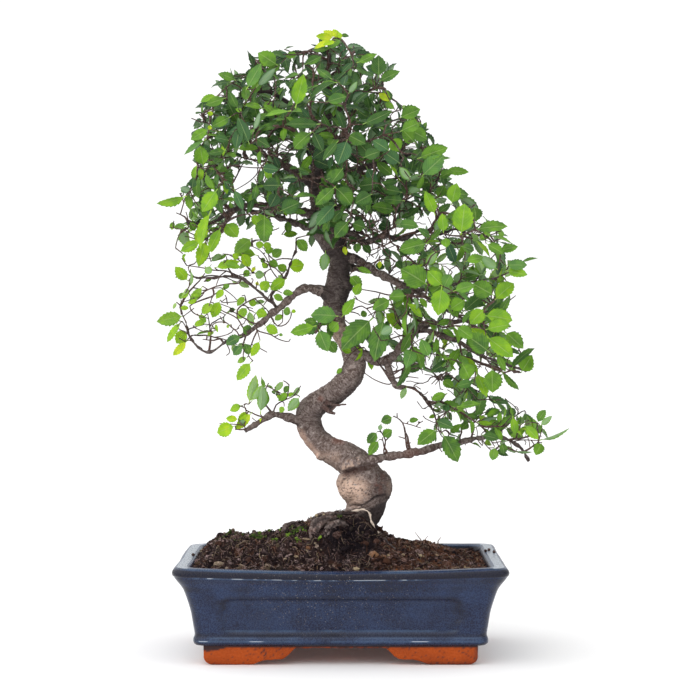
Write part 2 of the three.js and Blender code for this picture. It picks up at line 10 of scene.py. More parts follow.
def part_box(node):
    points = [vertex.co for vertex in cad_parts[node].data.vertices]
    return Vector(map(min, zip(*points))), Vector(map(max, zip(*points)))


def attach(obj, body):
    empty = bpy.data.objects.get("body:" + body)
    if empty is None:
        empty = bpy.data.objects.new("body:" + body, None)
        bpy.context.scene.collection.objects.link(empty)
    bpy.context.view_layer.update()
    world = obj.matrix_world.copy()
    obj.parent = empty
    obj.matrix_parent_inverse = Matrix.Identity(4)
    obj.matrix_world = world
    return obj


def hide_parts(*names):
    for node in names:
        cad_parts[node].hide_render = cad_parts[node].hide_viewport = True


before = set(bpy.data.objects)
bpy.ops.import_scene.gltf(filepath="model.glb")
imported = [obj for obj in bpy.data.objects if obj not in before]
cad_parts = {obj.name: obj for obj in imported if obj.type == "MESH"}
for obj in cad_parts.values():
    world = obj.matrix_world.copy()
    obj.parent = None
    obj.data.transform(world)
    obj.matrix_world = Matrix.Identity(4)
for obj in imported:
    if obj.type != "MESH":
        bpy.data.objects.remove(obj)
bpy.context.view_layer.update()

mm = 0.001
up = np.array([0.0, 0.0, 1.0])

potLow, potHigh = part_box("pot")
potMiddle = (potLow + potHigh) / 2
potSize = potHigh - potLow

# The plant was read from a picture 700 pixels square, taken from the front by a camera that looks slightly
# down
view = {
    "middle": 350,
    "scale": 0.6214 * mm,  # one pixel at the depth of the trunk
    "distance": 1.395,
    "height": 0.2105,
    "across": 0.0055,
    "tilt": 0.01692,
    "sensor": 36,
}
focal = view["distance"] / view["scale"]
lookDown = (math.cos(view["tilt"]), math.sin(view["tilt"]))


# The place seen at a pixel, at a depth in mm behind the trunk
def seen(across, down, depth=0):
    upwards = (view["middle"] - down) / focal
    reach = (view["distance"] + depth * mm) / (lookDown[0] + upwards * lookDown[1])
    x = potMiddle.x + view["across"] + (across - view["middle"]) / focal * reach
    z = view["height"] + reach * (upwards * lookDown[0] - lookDown[1])
    return np.array([x, potMiddle.y + depth * mm, z])


# The pixel at which a place is seen
def pixelOf(place):
    away = place[1] - potMiddle.y + view["distance"]
    above = place[2] - view["height"]
    reach = away * lookDown[0] - above * lookDown[1]
    across = view["middle"] + (place[0] - potMiddle.x - view["across"]) / reach * focal
    down = view["middle"] - (away * lookDown[1] + above * lookDown[0]) / reach * focal
    return across, down


def deselectAll():
    if bpy.context.object and bpy.context.object.mode != "OBJECT":
        bpy.ops.object.mode_set(mode="OBJECT")
    bpy.ops.object.select_all(action="DESELECT")


def pick(obj):
    deselectAll()
    obj.select_set(True)
    bpy.context.view_layer.objects.active = obj
    return obj


def applyModifiers(obj):
    pick(obj)
    for modifier in list(obj.modifiers):
        bpy.ops.object.modifier_apply(modifier=modifier.name)


def settle(obj, name):
    obj.name = name
    obj.data.name = name
    pick(obj)
    bpy.ops.object.transform_apply(location=True, rotation=True, scale=True)
    return obj


def joined(objects, name):
    deselectAll()
    for obj in objects:
        obj.select_set(True)
    bpy.context.view_layer.objects.active = objects[0]
    if len(objects) > 1:
        bpy.ops.object.join()
    return settle(objects[0], name)


def placesOf(obj):
    places = np.empty(len(obj.data.vertices) * 3)
    obj.data.vertices.foreach_get("co", places)
    return places.reshape(-1, 3)


def movePlaces(obj, places):
    obj.data.vertices.foreach_set("co", np.asarray(places, float).ravel())
    obj.data.update()


def normalsOf(obj):
    normals = np.empty(len(obj.data.vertices) * 3)
    obj.data.vertices.foreach_get("normal", normals)
    return normals.reshape(-1, 3)


def storeColour(obj, name, values):
    layer = obj.data.attributes.new(name, "FLOAT_COLOR", "POINT")
    layer.data.foreach_set("color", np.c_[values, np.ones(len(values))].astype(np.float32).ravel())


def storeVector(obj, name, values):
    layer = obj.data.attributes.new(name, "FLOAT_VECTOR", "POINT")
    layer.data.foreach_set("vector", np.asarray(values, np.float32).ravel())


def noiseAt(places, scale, octaves=3):
    return np.array([noise.fractal(Vector(place) * scale, 1.0, 2.0, octaves) for place in places])


def smooth(low, high, value):
    share = np.clip((value - low) / (high - low), 0, 1)
    return share * share * (3 - 2 * share)


def unit(vector):
    return vector / max(np.linalg.norm(vector), 1e-12)


def meshOf(name, places, faces):
    mesh = bpy.data.meshes.new(name)
    mesh.from_pydata(np.asarray(places).tolist(), [], faces)
    obj = bpy.data.objects.new(name, mesh)
    bpy.context.scene.collection.objects.link(obj)
    return obj


def finish(obj, slot, *nodes, materials=None, angle=None):
    for material in materials or []:
        obj.data.materials.append(material)
    pick(obj)
    if angle is None:
        bpy.ops.object.shade_smooth()
    else:
        bpy.ops.object.shade_smooth_by_angle(angle=math.radians(angle))
    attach(obj, "root")
    if nodes:
        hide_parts(*nodes)
    return obj


# A smooth line through points, and the widths given at them
def smoothRoute(points, radii, spacing):
    points = np.asarray(points, float)
    padded = np.vstack([2 * points[0] - points[1], points, 2 * points[-1] - points[-2]])
    places, widths = [], []
    for i in range(len(points) - 1):
        p0, p1, p2, p3 = padded[i:i + 4]
        gaps = [max(np.linalg.norm(b - a), 1e-9) ** 0.5 for a, b in ((p0, p1), (p1, p2), (p2, p3))]
        leave = gaps[1] * ((p1 - p0) / gaps[0] - (p2 - p0) / (gaps[0] + gaps[1]) + (p2 - p1) / gaps[1])
        arrive = gaps[1] * ((p2 - p1) / gaps[1] - (p3 - p1) / (gaps[1] + gaps[2]) + (p3 - p2) / gaps[2])
        steps = max(2, int(np.linalg.norm(p2 - p1) / spacing))
        last = i == len(points) - 2
        for step in range(steps + (1 if last else 0)):
            t = step / steps
            places.append(
                (2 * t**3 - 3 * t**2 + 1) * p1 + (t**3 - 2 * t**2 + t) * leave
                + (3 * t**2 - 2 * t**3) * p2 + (t**3 - t**2) * arrive
            )
            widths.append(radii[i] + (radii[i + 1] - radii[i]) * t)
    return np.array(places), np.array(widths)


# Shader nodes: a socket in `inputs` is linked, anything else is a value
def addNode(tree, kind, inputs=None, **settings):
    made = tree.nodes.new("ShaderNode" + kind)
    for key, value in settings.items():
        setattr(made, key, value)
    for key, value in (inputs or {}).items():
        if isinstance(value, bpy.types.NodeSocket):
            tree.links.new(value, made.inputs[key])
        else:
            made.inputs[key].default_value = value
    return made


def maths(tree, operation, first, second=0.5, third=None, clamp=False):
    inputs = {0: first, 1: second}
    if third is not None:
        inputs[2] = third
    return addNode(tree, "Math", inputs, operation=operation, use_clamp=clamp).outputs[0]


def spread(tree, value, low, high, toLow=0.0, toHigh=1.0):
    inputs = {"Value": value, "From Min": low, "From Max": high, "To Min": toLow, "To Max": toHigh}
    return addNode(tree, "MapRange", inputs, clamp=True, interpolation_type="SMOOTHSTEP").outputs[0]


def blend(tree, factor, first, second):
    return addNode(tree, "Mix", {0: factor, 6: first, 7: second}, data_type="RGBA").outputs[2]


def rgb(red, green, blue):
    return (red, green, blue, 1.0)


def ramp(tree, factor, stops):
    made = addNode(tree, "ValToRGB", {0: factor})
    elements = made.color_ramp.elements
    while len(elements) < len(stops):
        elements.new(0.5)
    for element, (place, colour) in zip(elements, stops):
        element.position = place
        element.color = colour
    return made.outputs[0]


def newMaterial(name, **values):
    material = bpy.data.materials.new(name)
    material.use_nodes = True
    tree = material.node_tree
    shader = tree.nodes["Principled BSDF"]
    for key, value in values.items():
        shader.inputs[key].default_value = value
    return material, tree, shader


def linkTo(tree, socket, shader, name):
    tree.links.new(socket, shader.inputs[name])


# Mottle: two sizes of noise, for every surface that varies from place to place
def makeMottleGroup():
    tree = bpy.data.node_groups.new("mottle", "ShaderNodeTree")
    kinds = {"Place": "NodeSocketVector", "Size": "NodeSocketFloat", "Fine": "NodeSocketFloat"}
    for name, kind in kinds.items():
        tree.interface.new_socket(name=name, in_out="INPUT", socket_type=kind)
    for name in ("Broad", "Grain"):
        tree.interface.new_socket(name=name, in_out="OUTPUT", socket_type="NodeSocketFloat")
    given = tree.nodes.new("NodeGroupInput")
    result = tree.nodes.new("NodeGroupOutput")
    coarse = {"Vector": given.outputs["Place"], "Scale": given.outputs["Size"], "Detail": 4.0}
    broad = addNode(tree, "TexNoise", coarse)
    fineScale = maths(tree, "MULTIPLY", given.outputs["Size"], given.outputs["Fine"])
    grain = addNode(tree, "TexNoise", {"Vector": given.outputs["Place"], "Scale": fineScale, "Detail": 3.0})
    tree.links.new(spread(tree, broad.outputs[0], 0.3, 0.7), result.inputs["Broad"])
    tree.links.new(spread(tree, grain.outputs[0], 0.3, 0.7), result.inputs["Grain"])
    return tree


mottleGroup = makeMottleGroup()


def mottle(tree, place, size, fine):
    made = tree.nodes.new("ShaderNodeGroup")
    made.node_tree = mottleGroup
    tree.links.new(place, made.inputs["Place"])
    made.inputs["Size"].default_value = size
    made.inputs["Fine"].default_value = fine
    return made.outputs["Broad"], made.outputs["Grain"]


def objectPlace(tree):
    return addNode(tree, "TexCoord").outputs["Object"]


def attribute(tree, name):
    return addNode(tree, "Attribute", attribute_name=name)


def parts(tree, vector):
    return addNode(tree, "SeparateXYZ", {0: vector}).outputs


def bump(tree, height, strength, distance):
    inputs = {"Height": height, "Strength": strength, "Distance": distance}
    return addNode(tree, "Bump", inputs).outputs[0]


# Glaze: deep blue, near black where it runs thin over an edge, paler where it pools below one. The near black
# also paints shade under the lip, under the foot bead and along the panel's top edge; pale blue and near
# white paint highlights and a reflection.
glaze = {
    "deep": rgb(0.002, 0.005, 0.027),
    "pale": rgb(0.017, 0.037, 0.100),
    # pale blue, for pooled glaze and for painted highlights
    "poolAndHighlight": rgb(0.060, 0.110, 0.20),
    # near white, for painted highlights
    "paintedHighlight": rgb(0.55, 0.60, 0.66),
    # near black, for thin glaze and for painted shade
    "thin": rgb(0.004, 0.0042, 0.014),
    "speck": rgb(0.42, 0.36, 0.30),
    "roughness": (0.18, 0.36),
    "coat": (0.15, 0.02),  # where it is thick and where it is thin
}


def makeGlaze():
    material, tree, shader = newMaterial("glaze", **{"Specular IOR Level": 0.3, "Coat Roughness": 0.05})
    place = objectPlace(tree)
    broad, grain = mottle(tree, place, 55.0, 26.0)
    glazeAndLightMask = attribute(tree, "glazeAndLightMask")
    # The first channel is thin glaze and painted shade, the second pooled glaze with painted highlights and a
    # painted reflection, the third worn specks
    thin, poolAndHighlight, worn = parts(tree, glazeAndLightMask.outputs["Color"])
    clouds = maths(tree, "MULTIPLY_ADD", broad, 0.5, -0.22)
    share = maths(tree, "MULTIPLY_ADD", grain, 0.95, clouds, clamp=True)
    colour = blend(tree, share, glaze["deep"], glaze["pale"])
    colour = blend(tree, maths(tree, "MULTIPLY", poolAndHighlight, 0.9), colour, glaze["poolAndHighlight"])
    thinShare = maths(tree, "MULTIPLY", thin, spread(tree, grain, -1.2, 0.7), clamp=True)
    colour = blend(tree, thinShare, colour, glaze["thin"])
    cells = addNode(tree, "TexVoronoi", {"Vector": place, "Scale": 620.0})
    speck = spread(tree, cells.outputs["Distance"], 0.18, 0.07)
    colour = blend(tree, maths(tree, "MULTIPLY", speck, worn), colour, glaze["speck"])
    # Painted highlight: the glaze turns near white where the second channel is almost full
    colour = blend(tree, spread(tree, poolAndHighlight, 0.78, 0.96), colour, glaze["paintedHighlight"])
    linkTo(tree, colour, shader, "Base Color")
    linkTo(tree, spread(tree, thin, 0.6, 1.0, *glaze["coat"]), shader, "Coat Weight")
    linkTo(tree, spread(tree, grain, 0, 1, *glaze["roughness"]), shader, "Roughness")
    linkTo(tree, bump(tree, grain, 0.12, 0.0006), shader, "Normal")
    return material


# Bare clay: fired orange, dusty, with dark cracks and smears
clay = {
    "fired": rgb(0.43, 0.072, 0.008),
    "dark": rgb(0.22, 0.034, 0.006),
    "smear": rgb(0.045, 0.022, 0.022),
}


def makeClay():
    material, tree, shader = newMaterial("bareClay", **{"Specular IOR Level": 0.2})
    place = objectPlace(tree)
    broad, grain = mottle(tree, place, 60.0, 14.0)
    smear = attribute(tree, "claySmear").outputs["Color"]
    colour = blend(tree, maths(tree, "MULTIPLY", broad, 0.55), clay["fired"], clay["dark"])
    colour = blend(tree, maths(tree, "MULTIPLY", grain, 0.2), colour, clay["dark"])
    colour = blend(tree, parts(tree, smear)[0], colour, clay["smear"])
    linkTo(tree, colour, shader, "Base Color")
    linkTo(tree, spread(tree, grain, 0, 1, 0.62, 0.85), shader, "Roughness")
    linkTo(tree, bump(tree, grain, 0.35, 0.0008), shader, "Normal")
    return material


# Soil, crumbs and fibres share one finish: near black to red brown, by each crumb's own tone. The tone
# also holds painted light and shade: lit clods, dark hollows and the cave under the trunk.
earth = {
    "wetAndShaded": rgb(0.007, 0.004, 0.0065),
    "dryAndLit": rgb(0.35, 0.25, 0.24),
    "red": rgb(0.22, 0.085, 0.036),
    "pale": rgb(0.50, 0.40, 0.25),
}


def makeEarth():
    material, tree, shader = newMaterial("earth", **{"Specular IOR Level": 0.12})
    place = objectPlace(tree)
    broad, grain = mottle(tree, place, 110.0, 9.0)
    drynessAndLight, redness, paleness = parts(tree, attribute(tree, "earthTone").outputs["Color"])
    share = maths(tree, "MULTIPLY", spread(tree, grain, 0.1, 0.95, 0.0, 1.5), drynessAndLight, clamp=True)
    colour = blend(tree, share, earth["wetAndShaded"], earth["dryAndLit"])
    redShare = maths(tree, "MULTIPLY", redness, spread(tree, broad, 0, 1, 0.6, 1))
    colour = blend(tree, redShare, colour, earth["red"])
    colour = blend(tree, paleness, colour, earth["pale"])
    linkTo(tree, colour, shader, "Base Color")
    linkTo(tree, spread(tree, grain, 0, 1, 0.7, 0.95), shader, "Roughness")
    linkTo(tree, bump(tree, grain, 0.7, 0.0015), shader, "Normal")
    return material


# Moss: how light each leaf is, from dark to yellow green
mossLook = [
    (0, rgb(0.02, 0.035, 0.006)),
    (0.5, rgb(0.062, 0.105, 0.015)),
    (1, rgb(0.185, 0.31, 0.028)),
]


def makeMoss():
    material, tree, shader = newMaterial("moss", **{"Specular IOR Level": 0.2})
    broad, grain = mottle(tree, objectPlace(tree), 240.0, 4.0)
    tone = parts(tree, attribute(tree, "mossTone").outputs["Color"])[0]
    share = maths(tree, "MULTIPLY", tone, spread(tree, broad, 0, 1, 0.5, 1.2), clamp=True)
    colour = ramp(tree, share, mossLook)
    linkTo(tree, colour, shader, "Base Color")
    linkTo(tree, spread(tree, grain, 0, 1, 0.6, 0.85), shader, "Roughness")
    return material


# Bark: grey brown with pale flecks and fine wrinkles. barkPlace is the wood laid out straight; barkTone is
# pale, red and dark, where pale and dark also hold painted light and shade.
bark = {
    "brown": rgb(0.108, 0.073, 0.062),
    "grey": rgb(0.345, 0.278, 0.255),
    "fleck": rgb(0.52, 0.45, 0.41),
    "pit": rgb(0.022, 0.014, 0.013),
    "pale": rgb(0.86, 0.60, 0.46),
    "peeled": rgb(0.78, 0.67, 0.56),
    "red": rgb(0.27, 0.105, 0.075),
    "dark": rgb(0.022, 0.016, 0.017),
}


def makeBark():
    material, tree, shader = newMaterial("bark", **{"Specular IOR Level": 0.25})
    place = attribute(tree, "barkPlace").outputs["Vector"]
    broad, grain = mottle(tree, place, 70.0, 9.0)
    stretched = addNode(tree, "Mapping", {"Vector": place, "Scale": (1.0, 1.0, 1.7)}).outputs[0]
    streaks = {"Vector": stretched, "Scale": 330.0, "Detail": 4.0, "Roughness": 0.6, "Distortion": 1.4}
    wrinkle = addNode(tree, "TexNoise", streaks).outputs[0]
    cells = addNode(tree, "TexVoronoi", {"Vector": stretched, "Scale": 520.0}).outputs["Distance"]
    pale, red, dark = parts(tree, attribute(tree, "barkTone").outputs["Color"])
    colour = blend(tree, spread(tree, wrinkle, 0.38, 0.62), bark["brown"], bark["grey"])
    colour = blend(tree, maths(tree, "MULTIPLY", broad, 0.45), colour, bark["brown"])
    colour = blend(tree, maths(tree, "MULTIPLY", pale, 0.8), colour, bark["pale"])
    fleck = maths(tree, "MULTIPLY", spread(tree, wrinkle, 0.58, 0.70), spread(tree, grain, 0.3, 0.8))
    colour = blend(tree, fleck, colour, bark["fleck"])
    colour = blend(tree, spread(tree, pale, 0.93, 1.0), colour, bark["peeled"])
    colour = blend(tree, maths(tree, "MULTIPLY", red, spread(tree, broad, 0, 1, 0.5, 1)), colour, bark["red"])
    pit = maths(tree, "MULTIPLY", spread(tree, cells, 0.26, 0.12), spread(tree, grain, 0.35, 0.65))
    colour = blend(tree, maths(tree, "MULTIPLY", pit, 0.45), colour, bark["pit"])
    colour = blend(tree, maths(tree, "MULTIPLY", dark, 0.88), colour, bark["dark"])
    linkTo(tree, colour, shader, "Base Color")
    linkTo(tree, spread(tree, grain, 0, 1, 0.68, 0.9), shader, "Roughness")
    height = maths(tree, "MULTIPLY_ADD", wrinkle, 1.0, maths(tree, "MULTIPLY", pit, -0.5))
    linkTo(tree, bump(tree, height, 0.8, 0.0012), shader, "Normal")
    return material


# Young wood of the leafy twigs: red brown, with pale pores
youngWood = {
    "brown": rgb(0.032, 0.019, 0.018),
    "red": rgb(0.10, 0.048, 0.036),
    "grey": rgb(0.17, 0.125, 0.11),
}


def makeYoungBark():
    material, tree, shader = newMaterial("youngBark", **{"Specular IOR Level": 0.3})
    broad, grain = mottle(tree, objectPlace(tree), 95.0, 9.0)
    colour = blend(tree, broad, youngWood["brown"], youngWood["red"])
    colour = blend(tree, spread(tree, grain, 0.6, 0.9), colour, youngWood["grey"])
    linkTo(tree, colour, shader, "Base Color")
    linkTo(tree, spread(tree, grain, 0, 1, 0.55, 0.8), shader, "Roughness")
    linkTo(tree, bump(tree, grain, 0.5, 0.0005), shader, "Normal")
    return material


# Leaves: leafTone is how light the leaf is, its own colour with painted light and shade in it, whether this
# is its underside, and its own chance value. The map runs from stalk to tip and from edge to edge.
leafLook = {
    "tones": [
        (0.0, rgb(0.018, 0.055, 0.022)),
        (0.3, rgb(0.050, 0.130, 0.022)),
        (0.6, rgb(0.155, 0.340, 0.020)),
        (0.85, rgb(0.30, 0.52, 0.010)),
        (1.0, rgb(0.52, 0.62, 0.02)),
    ],
    "bluishSheen": rgb(0.05, 0.15, 0.085),
    "under": rgb(0.30, 0.44, 0.27),
    "vein": rgb(0.42, 0.55, 0.2),
    "sideVeins": 9.0,
}


def makeLeafMaterial():
    material, tree, shader = newMaterial("leaf", **{"Specular IOR Level": 0.2})
    along, across, _ = parts(tree, addNode(tree, "UVMap", uv_map="leafMap").outputs[0])
    tone, under, chance = parts(tree, attribute(tree, "leafTone").outputs["Color"])
    broad, grain = mottle(tree, objectPlace(tree), 190.0, 5.0)
    fromMiddle = maths(tree, "MULTIPLY", maths(tree, "ABSOLUTE", maths(tree, "SUBTRACT", across, 0.5)), 2.0)
    tone = maths(tree, "ADD", tone, spread(tree, broad, 0, 1, -0.06, 0.08))
    colour = ramp(tree, tone, leafLook["tones"])
    # Painted sheen: a random share of leaves turns bluish grey
    colour = blend(tree, spread(tree, chance, 0.7, 1.0, 0, 0.4), colour, leafLook["bluishSheen"])
    colour = blend(tree, maths(tree, "MULTIPLY", under, 0.55), colour, leafLook["under"])
    midrib = spread(tree, fromMiddle, 0.09, 0.02)
    slanted = maths(tree, "MULTIPLY_ADD", fromMiddle, -0.34, along)
    wave = maths(tree, "MULTIPLY", slanted, leafLook["sideVeins"])
    veinPlace = maths(tree, "ABSOLUTE", maths(tree, "SUBTRACT", maths(tree, "FRACT", wave), 0.5))
    sideVein = spread(tree, veinPlace, 0.13, 0.02)
    paleRib = maths(tree, "MULTIPLY", midrib, 0.34)
    vein = maths(tree, "MAXIMUM", paleRib, maths(tree, "MULTIPLY", sideVein, 0.12))
    colour = blend(tree, vein, colour, leafLook["vein"])
    linkTo(tree, colour, shader, "Base Color")
    linkTo(tree, spread(tree, grain, 0, 1, 0.42, 0.6), shader, "Roughness")
    sideGroove = maths(tree, "MULTIPLY", sideVein, -0.6)
    height = maths(tree, "ADD", sideGroove, maths(tree, "MULTIPLY", midrib, -1.0))
    linkTo(tree, bump(tree, height, 0.45, 0.0004), shader, "Normal")
    return material


screenLook = {
    "black": rgb(0.012, 0.012, 0.013),
    "grey": rgb(0.03, 0.029, 0.028),
}


def makeScreenPlastic():
    material, tree, shader = newMaterial("screenPlastic")
    broad, grain = mottle(tree, objectPlace(tree), 150.0, 8.0)
    colour = blend(tree, broad, screenLook["black"], screenLook["grey"])
    linkTo(tree, colour, shader, "Base Color")
    linkTo(tree, spread(tree, grain, 0, 1, 0.5, 0.7), shader, "Roughness")
    return material


glazeMaterial = makeGlaze()
clayMaterial = makeClay()
earthMaterial = makeEarth()
mossMaterial = makeMoss()
barkMaterial = makeBark()
youngMaterial = makeYoungBark()
leafMaterial = makeLeafMaterial()
screenMaterial = makeScreenPlastic()
print("materials made")


# Camera, floor and lights
studio = {
    "backdrop": 1.1,
    "shade": 0.66,  # the sky's light away from its bright side, and how much more that side gives
    "sky": 0.98,
    "skyFrom": (-0.50, -0.38, 0.78),
    "floorSize": 12.0,
    "floorGlow": 0.03,  # keeps the floor white beside the pot
    "keyPlace": (-1.7, -1.5, 2.0),
    "keySize": 4.2,
    "keyPower": 17.0,
    "fillPlace": (1.9, -1.2, 1.0),
    "fillSize": 1.6,
    "fillPower": 5.0,
}


def addArea(name, place, size, power):
    bpy.ops.object.light_add(type="AREA", location=place)
    lamp = bpy.context.object
    lamp.name = name
    lamp.data.size = size
    lamp.data.energy = power
    aim = Vector((potMiddle.x, potMiddle.y, view["height"])) - Vector(place)
    lamp.rotation_euler = aim.to_track_quat("-Z", "Y").to_euler()


def makeStudio():
    world = bpy.data.worlds.new("studio")
    bpy.context.scene.world = world
    world.use_nodes = True
    tree = world.node_tree
    background = tree.nodes["Background"]
    background.inputs["Color"].default_value = rgb(1, 1, 1)
    # The backdrop is white to the camera; its light is stronger from above and from the left
    towards = addNode(tree, "TexCoord").outputs["Generated"]
    inputs = {0: towards, 1: studio["skyFrom"]}
    facing = addNode(tree, "VectorMath", inputs, operation="DOT_PRODUCT").outputs["Value"]
    light = maths(tree, "MULTIPLY_ADD", maths(tree, "MAXIMUM", facing, 0.0), studio["sky"], studio["shade"])
    seenStraight = addNode(tree, "LightPath").outputs["Is Camera Ray"]
    strength = spread(tree, seenStraight, 0, 1, light, studio["backdrop"])
    tree.links.new(strength, background.inputs["Strength"])
    bpy.context.scene.view_settings.view_transform = "Standard"
    bpy.ops.mesh.primitive_plane_add(size=studio["floorSize"], location=(potMiddle.x, potMiddle.y, 0))
    floor = bpy.context.object
    floor.name = "floor"
    material, tree, shader = newMaterial("floorWhite", Roughness=0.9)
    shader.inputs["Base Color"].default_value = rgb(0.95, 0.945, 0.95)
    shader.inputs["Emission Color"].default_value = rgb(1, 1, 1)
    shader.inputs["Emission Strength"].default_value = studio["floorGlow"]
    floor.data.materials.append(material)
    addArea("keyLight", studio["keyPlace"], studio["keySize"], studio["keyPower"])
    addArea("fillLight", studio["fillPlace"], studio["fillSize"], studio["fillPower"])
    place = (potMiddle.x + view["across"], potMiddle.y - view["distance"], view["height"])
    bpy.ops.object.camera_add(location=place, rotation=(math.pi / 2 - view["tilt"], 0, 0))
    camera = bpy.context.object
    camera.data.sensor_width = view["sensor"]
    camera.data.lens = view["sensor"] * view["distance"] / (2 * view["middle"] * view["scale"])
    bpy.context.scene.camera = camera


makeStudio()
print("studio ready")


# Pot body: its outline is drawn up along the outside, over the lip and down the inside, as one closed ring.
# The floor is a slab of its own, so that only it is drilled.
pot = {
    "corner": 7 * mm,
    "cornerSteps": 7,
    "lift": 1.2,  # the body stands this much higher on its feet than in the frame
    "outer": [  # inset from the rim, height
        (13.6, 10.6), (12.6, 11.0), (11.9, 11.8), (11.6, 12.8), (11.6, 13.9), (11.9, 15.0), (12.3, 16.0),
        (12.4, 17.2),
        (12.1, 19.5), (11.5, 23.0), (10.9, 27.0), (10.2, 31.0), (9.3, 34.5), (8.3, 38.0), (7.2, 41.6),
        (6.3, 44.2),
        (5.1, 46.4), (3.7, 48.4), (2.4, 50.2), (1.5, 51.6), (1.0, 52.5), (0.35, 53.2), (0.0, 54.2),
        (0.05, 55.2),
        (0.5, 56.3), (1.3, 57.2), (2.3, 57.8), (3.5, 58.0),
    ],
    "inner": [
        (6.0, 58.05), (8.2, 57.9), (9.7, 57.3), (10.6, 56.2), (11.2, 54.4), (12.4, 48.0), (15.0, 36.0),
        (18.5, 22.0),
        (19.5, 13.0), (18.5, 11.5),
    ],
    "outerStep": 0.75,
    "innerStep": 4.0,
    "step": 1.6 * mm,  # length of a face along the wall
    "slabInset": 13.0,
    "slabLow": 11.9,
    "slabHigh": 16.5,
    "panelHalf": (72.0, 46.0),  # front and side
    "panelLow": 18.0,
    "panelHigh": 38.8,
    "panelCorner": 7.5,
    "panelNotch": 3.4,
    "panelDepth": 1.2,
    "drain": 7 * mm,
    "drainOffset": 45 * mm,
}


# How far outside the panel's outline a point of the wall is, in mm. Its ends step in like brackets.
def outsidePanel(along, height, half):
    low, high = pot["panelLow"], pot["panelHigh"]
    across = np.abs(along)
    middle, reach = (low + high) / 2, (high - low) / 2
    corner = pot["panelCorner"]
    over = across - (half - corner)
    above = np.abs(height - middle) - (reach - corner)
    rounded = np.hypot(np.maximum(over, 0), np.maximum(above, 0)) - corner
    rounded = rounded + np.minimum(np.maximum(over, above), 0)
    notch = pot["panelNotch"] - np.hypot(across - half - 0.6, np.abs(height - middle) - reach * 0.55)
    return np.maximum(rounded, notch)


def drawPotWall():
    bpy.ops.mesh.primitive_plane_add(size=1)
    wall = bpy.context.object
    half = np.array([potSize.x, potSize.y]) / 2
    start = pot["outer"][0][0] * mm
    wall.scale = (2 * (half[0] - start), 2 * (half[1] - start), 1)
    bpy.ops.object.transform_apply(scale=True)
    bpy.ops.object.mode_set(mode="EDIT")
    bpy.ops.mesh.bevel(offset=pot["corner"], segments=pot["cornerSteps"], affect="VERTICES")
    bpy.ops.mesh.delete(type="ONLY_FACE")
    # The long edges are divided, so that the panels can be pressed in
    for axis in (0, 1):
        bpy.ops.mesh.select_all(action="DESELECT")
        bpy.ops.object.mode_set(mode="OBJECT")
        for edge in wall.data.edges:
            ends = [wall.data.vertices[i].co for i in edge.vertices]
            edge.select = bool(abs(ends[0][axis] - ends[1][axis]) > half[1])
        bpy.ops.object.mode_set(mode="EDIT")
        bpy.ops.mesh.subdivide(number_cuts=int(2 * half[axis] / pot["step"]))
    bpy.ops.mesh.select_all(action="SELECT")
    outer, _ = smoothRoute(pot["outer"], [0] * len(pot["outer"]), pot["outerStep"])
    inner, _ = smoothRoute(pot["outer"][-1:] + pot["inner"], [0] * (len(pot["inner"]) + 1), pot["innerStep"])
    before = outer[0]
    for inset, height in np.vstack([outer[1:], inner[1:]]):
        bpy.ops.mesh.extrude_region_move(TRANSFORM_OT_translate={"value": (0, 0, (height - before[1]) * mm)})
        ratios = (half - inset * mm) / (half - before[0] * mm)
        bpy.ops.transform.resize(value=(ratios[0], ratios[1], 1), center_override=(0, 0, 0))
        before = (inset, height)
    bpy.ops.mesh.select_all(action="DESELECT")
    bpy.ops.mesh.select_non_manifold(extend=False)
    bpy.ops.mesh.bridge_edge_loops()
    bpy.ops.mesh.select_all(action="SELECT")
    bpy.ops.mesh.normals_make_consistent(inside=False)
    bpy.ops.object.mode_set(mode="OBJECT")
    wall.location = (potMiddle.x, potMiddle.y, (pot["outer"][0][1] + pot["lift"]) * mm)
    return settle(wall, "pot_body")


# Where the glaze is thin, pooled or worn, and where shade, highlights and a reflection are painted on it:
# heights, and places along the wall from the pot's middle, in mm
glazing = {
    "lip": 54.8,
    "underLipShade": 50.4,
    "band": 45.0,
    "footBand": 16.8,
    "underBeadShade": (12.4, 11.2),
    "rimHighlight": 57.5,
    "panelPoolAndHighlight": 19.4,
    "beadHighlightLines": (13.4, 15.3),
    "lipHighlight": 52.5,
    "footHighlight": 13.3,
    # Painted highlights along the foot bead: place, reach, core, strength
    "beadHighlights": [(-50, 9, 3, 1.0), (47, 10, 4, 1.0), (-2, 7, 2, 0.6), (-82, 6, 2, 1.0)],
    "rimEndReflection": (87, 90),
    "wornAt": (-8, 42),
    "wave": 0.5 * mm,
}


# 1 near a place, falling to 0 at its reach
def nearTo(place, reach, core, value):
    return smooth(reach, core, np.abs(value - place))
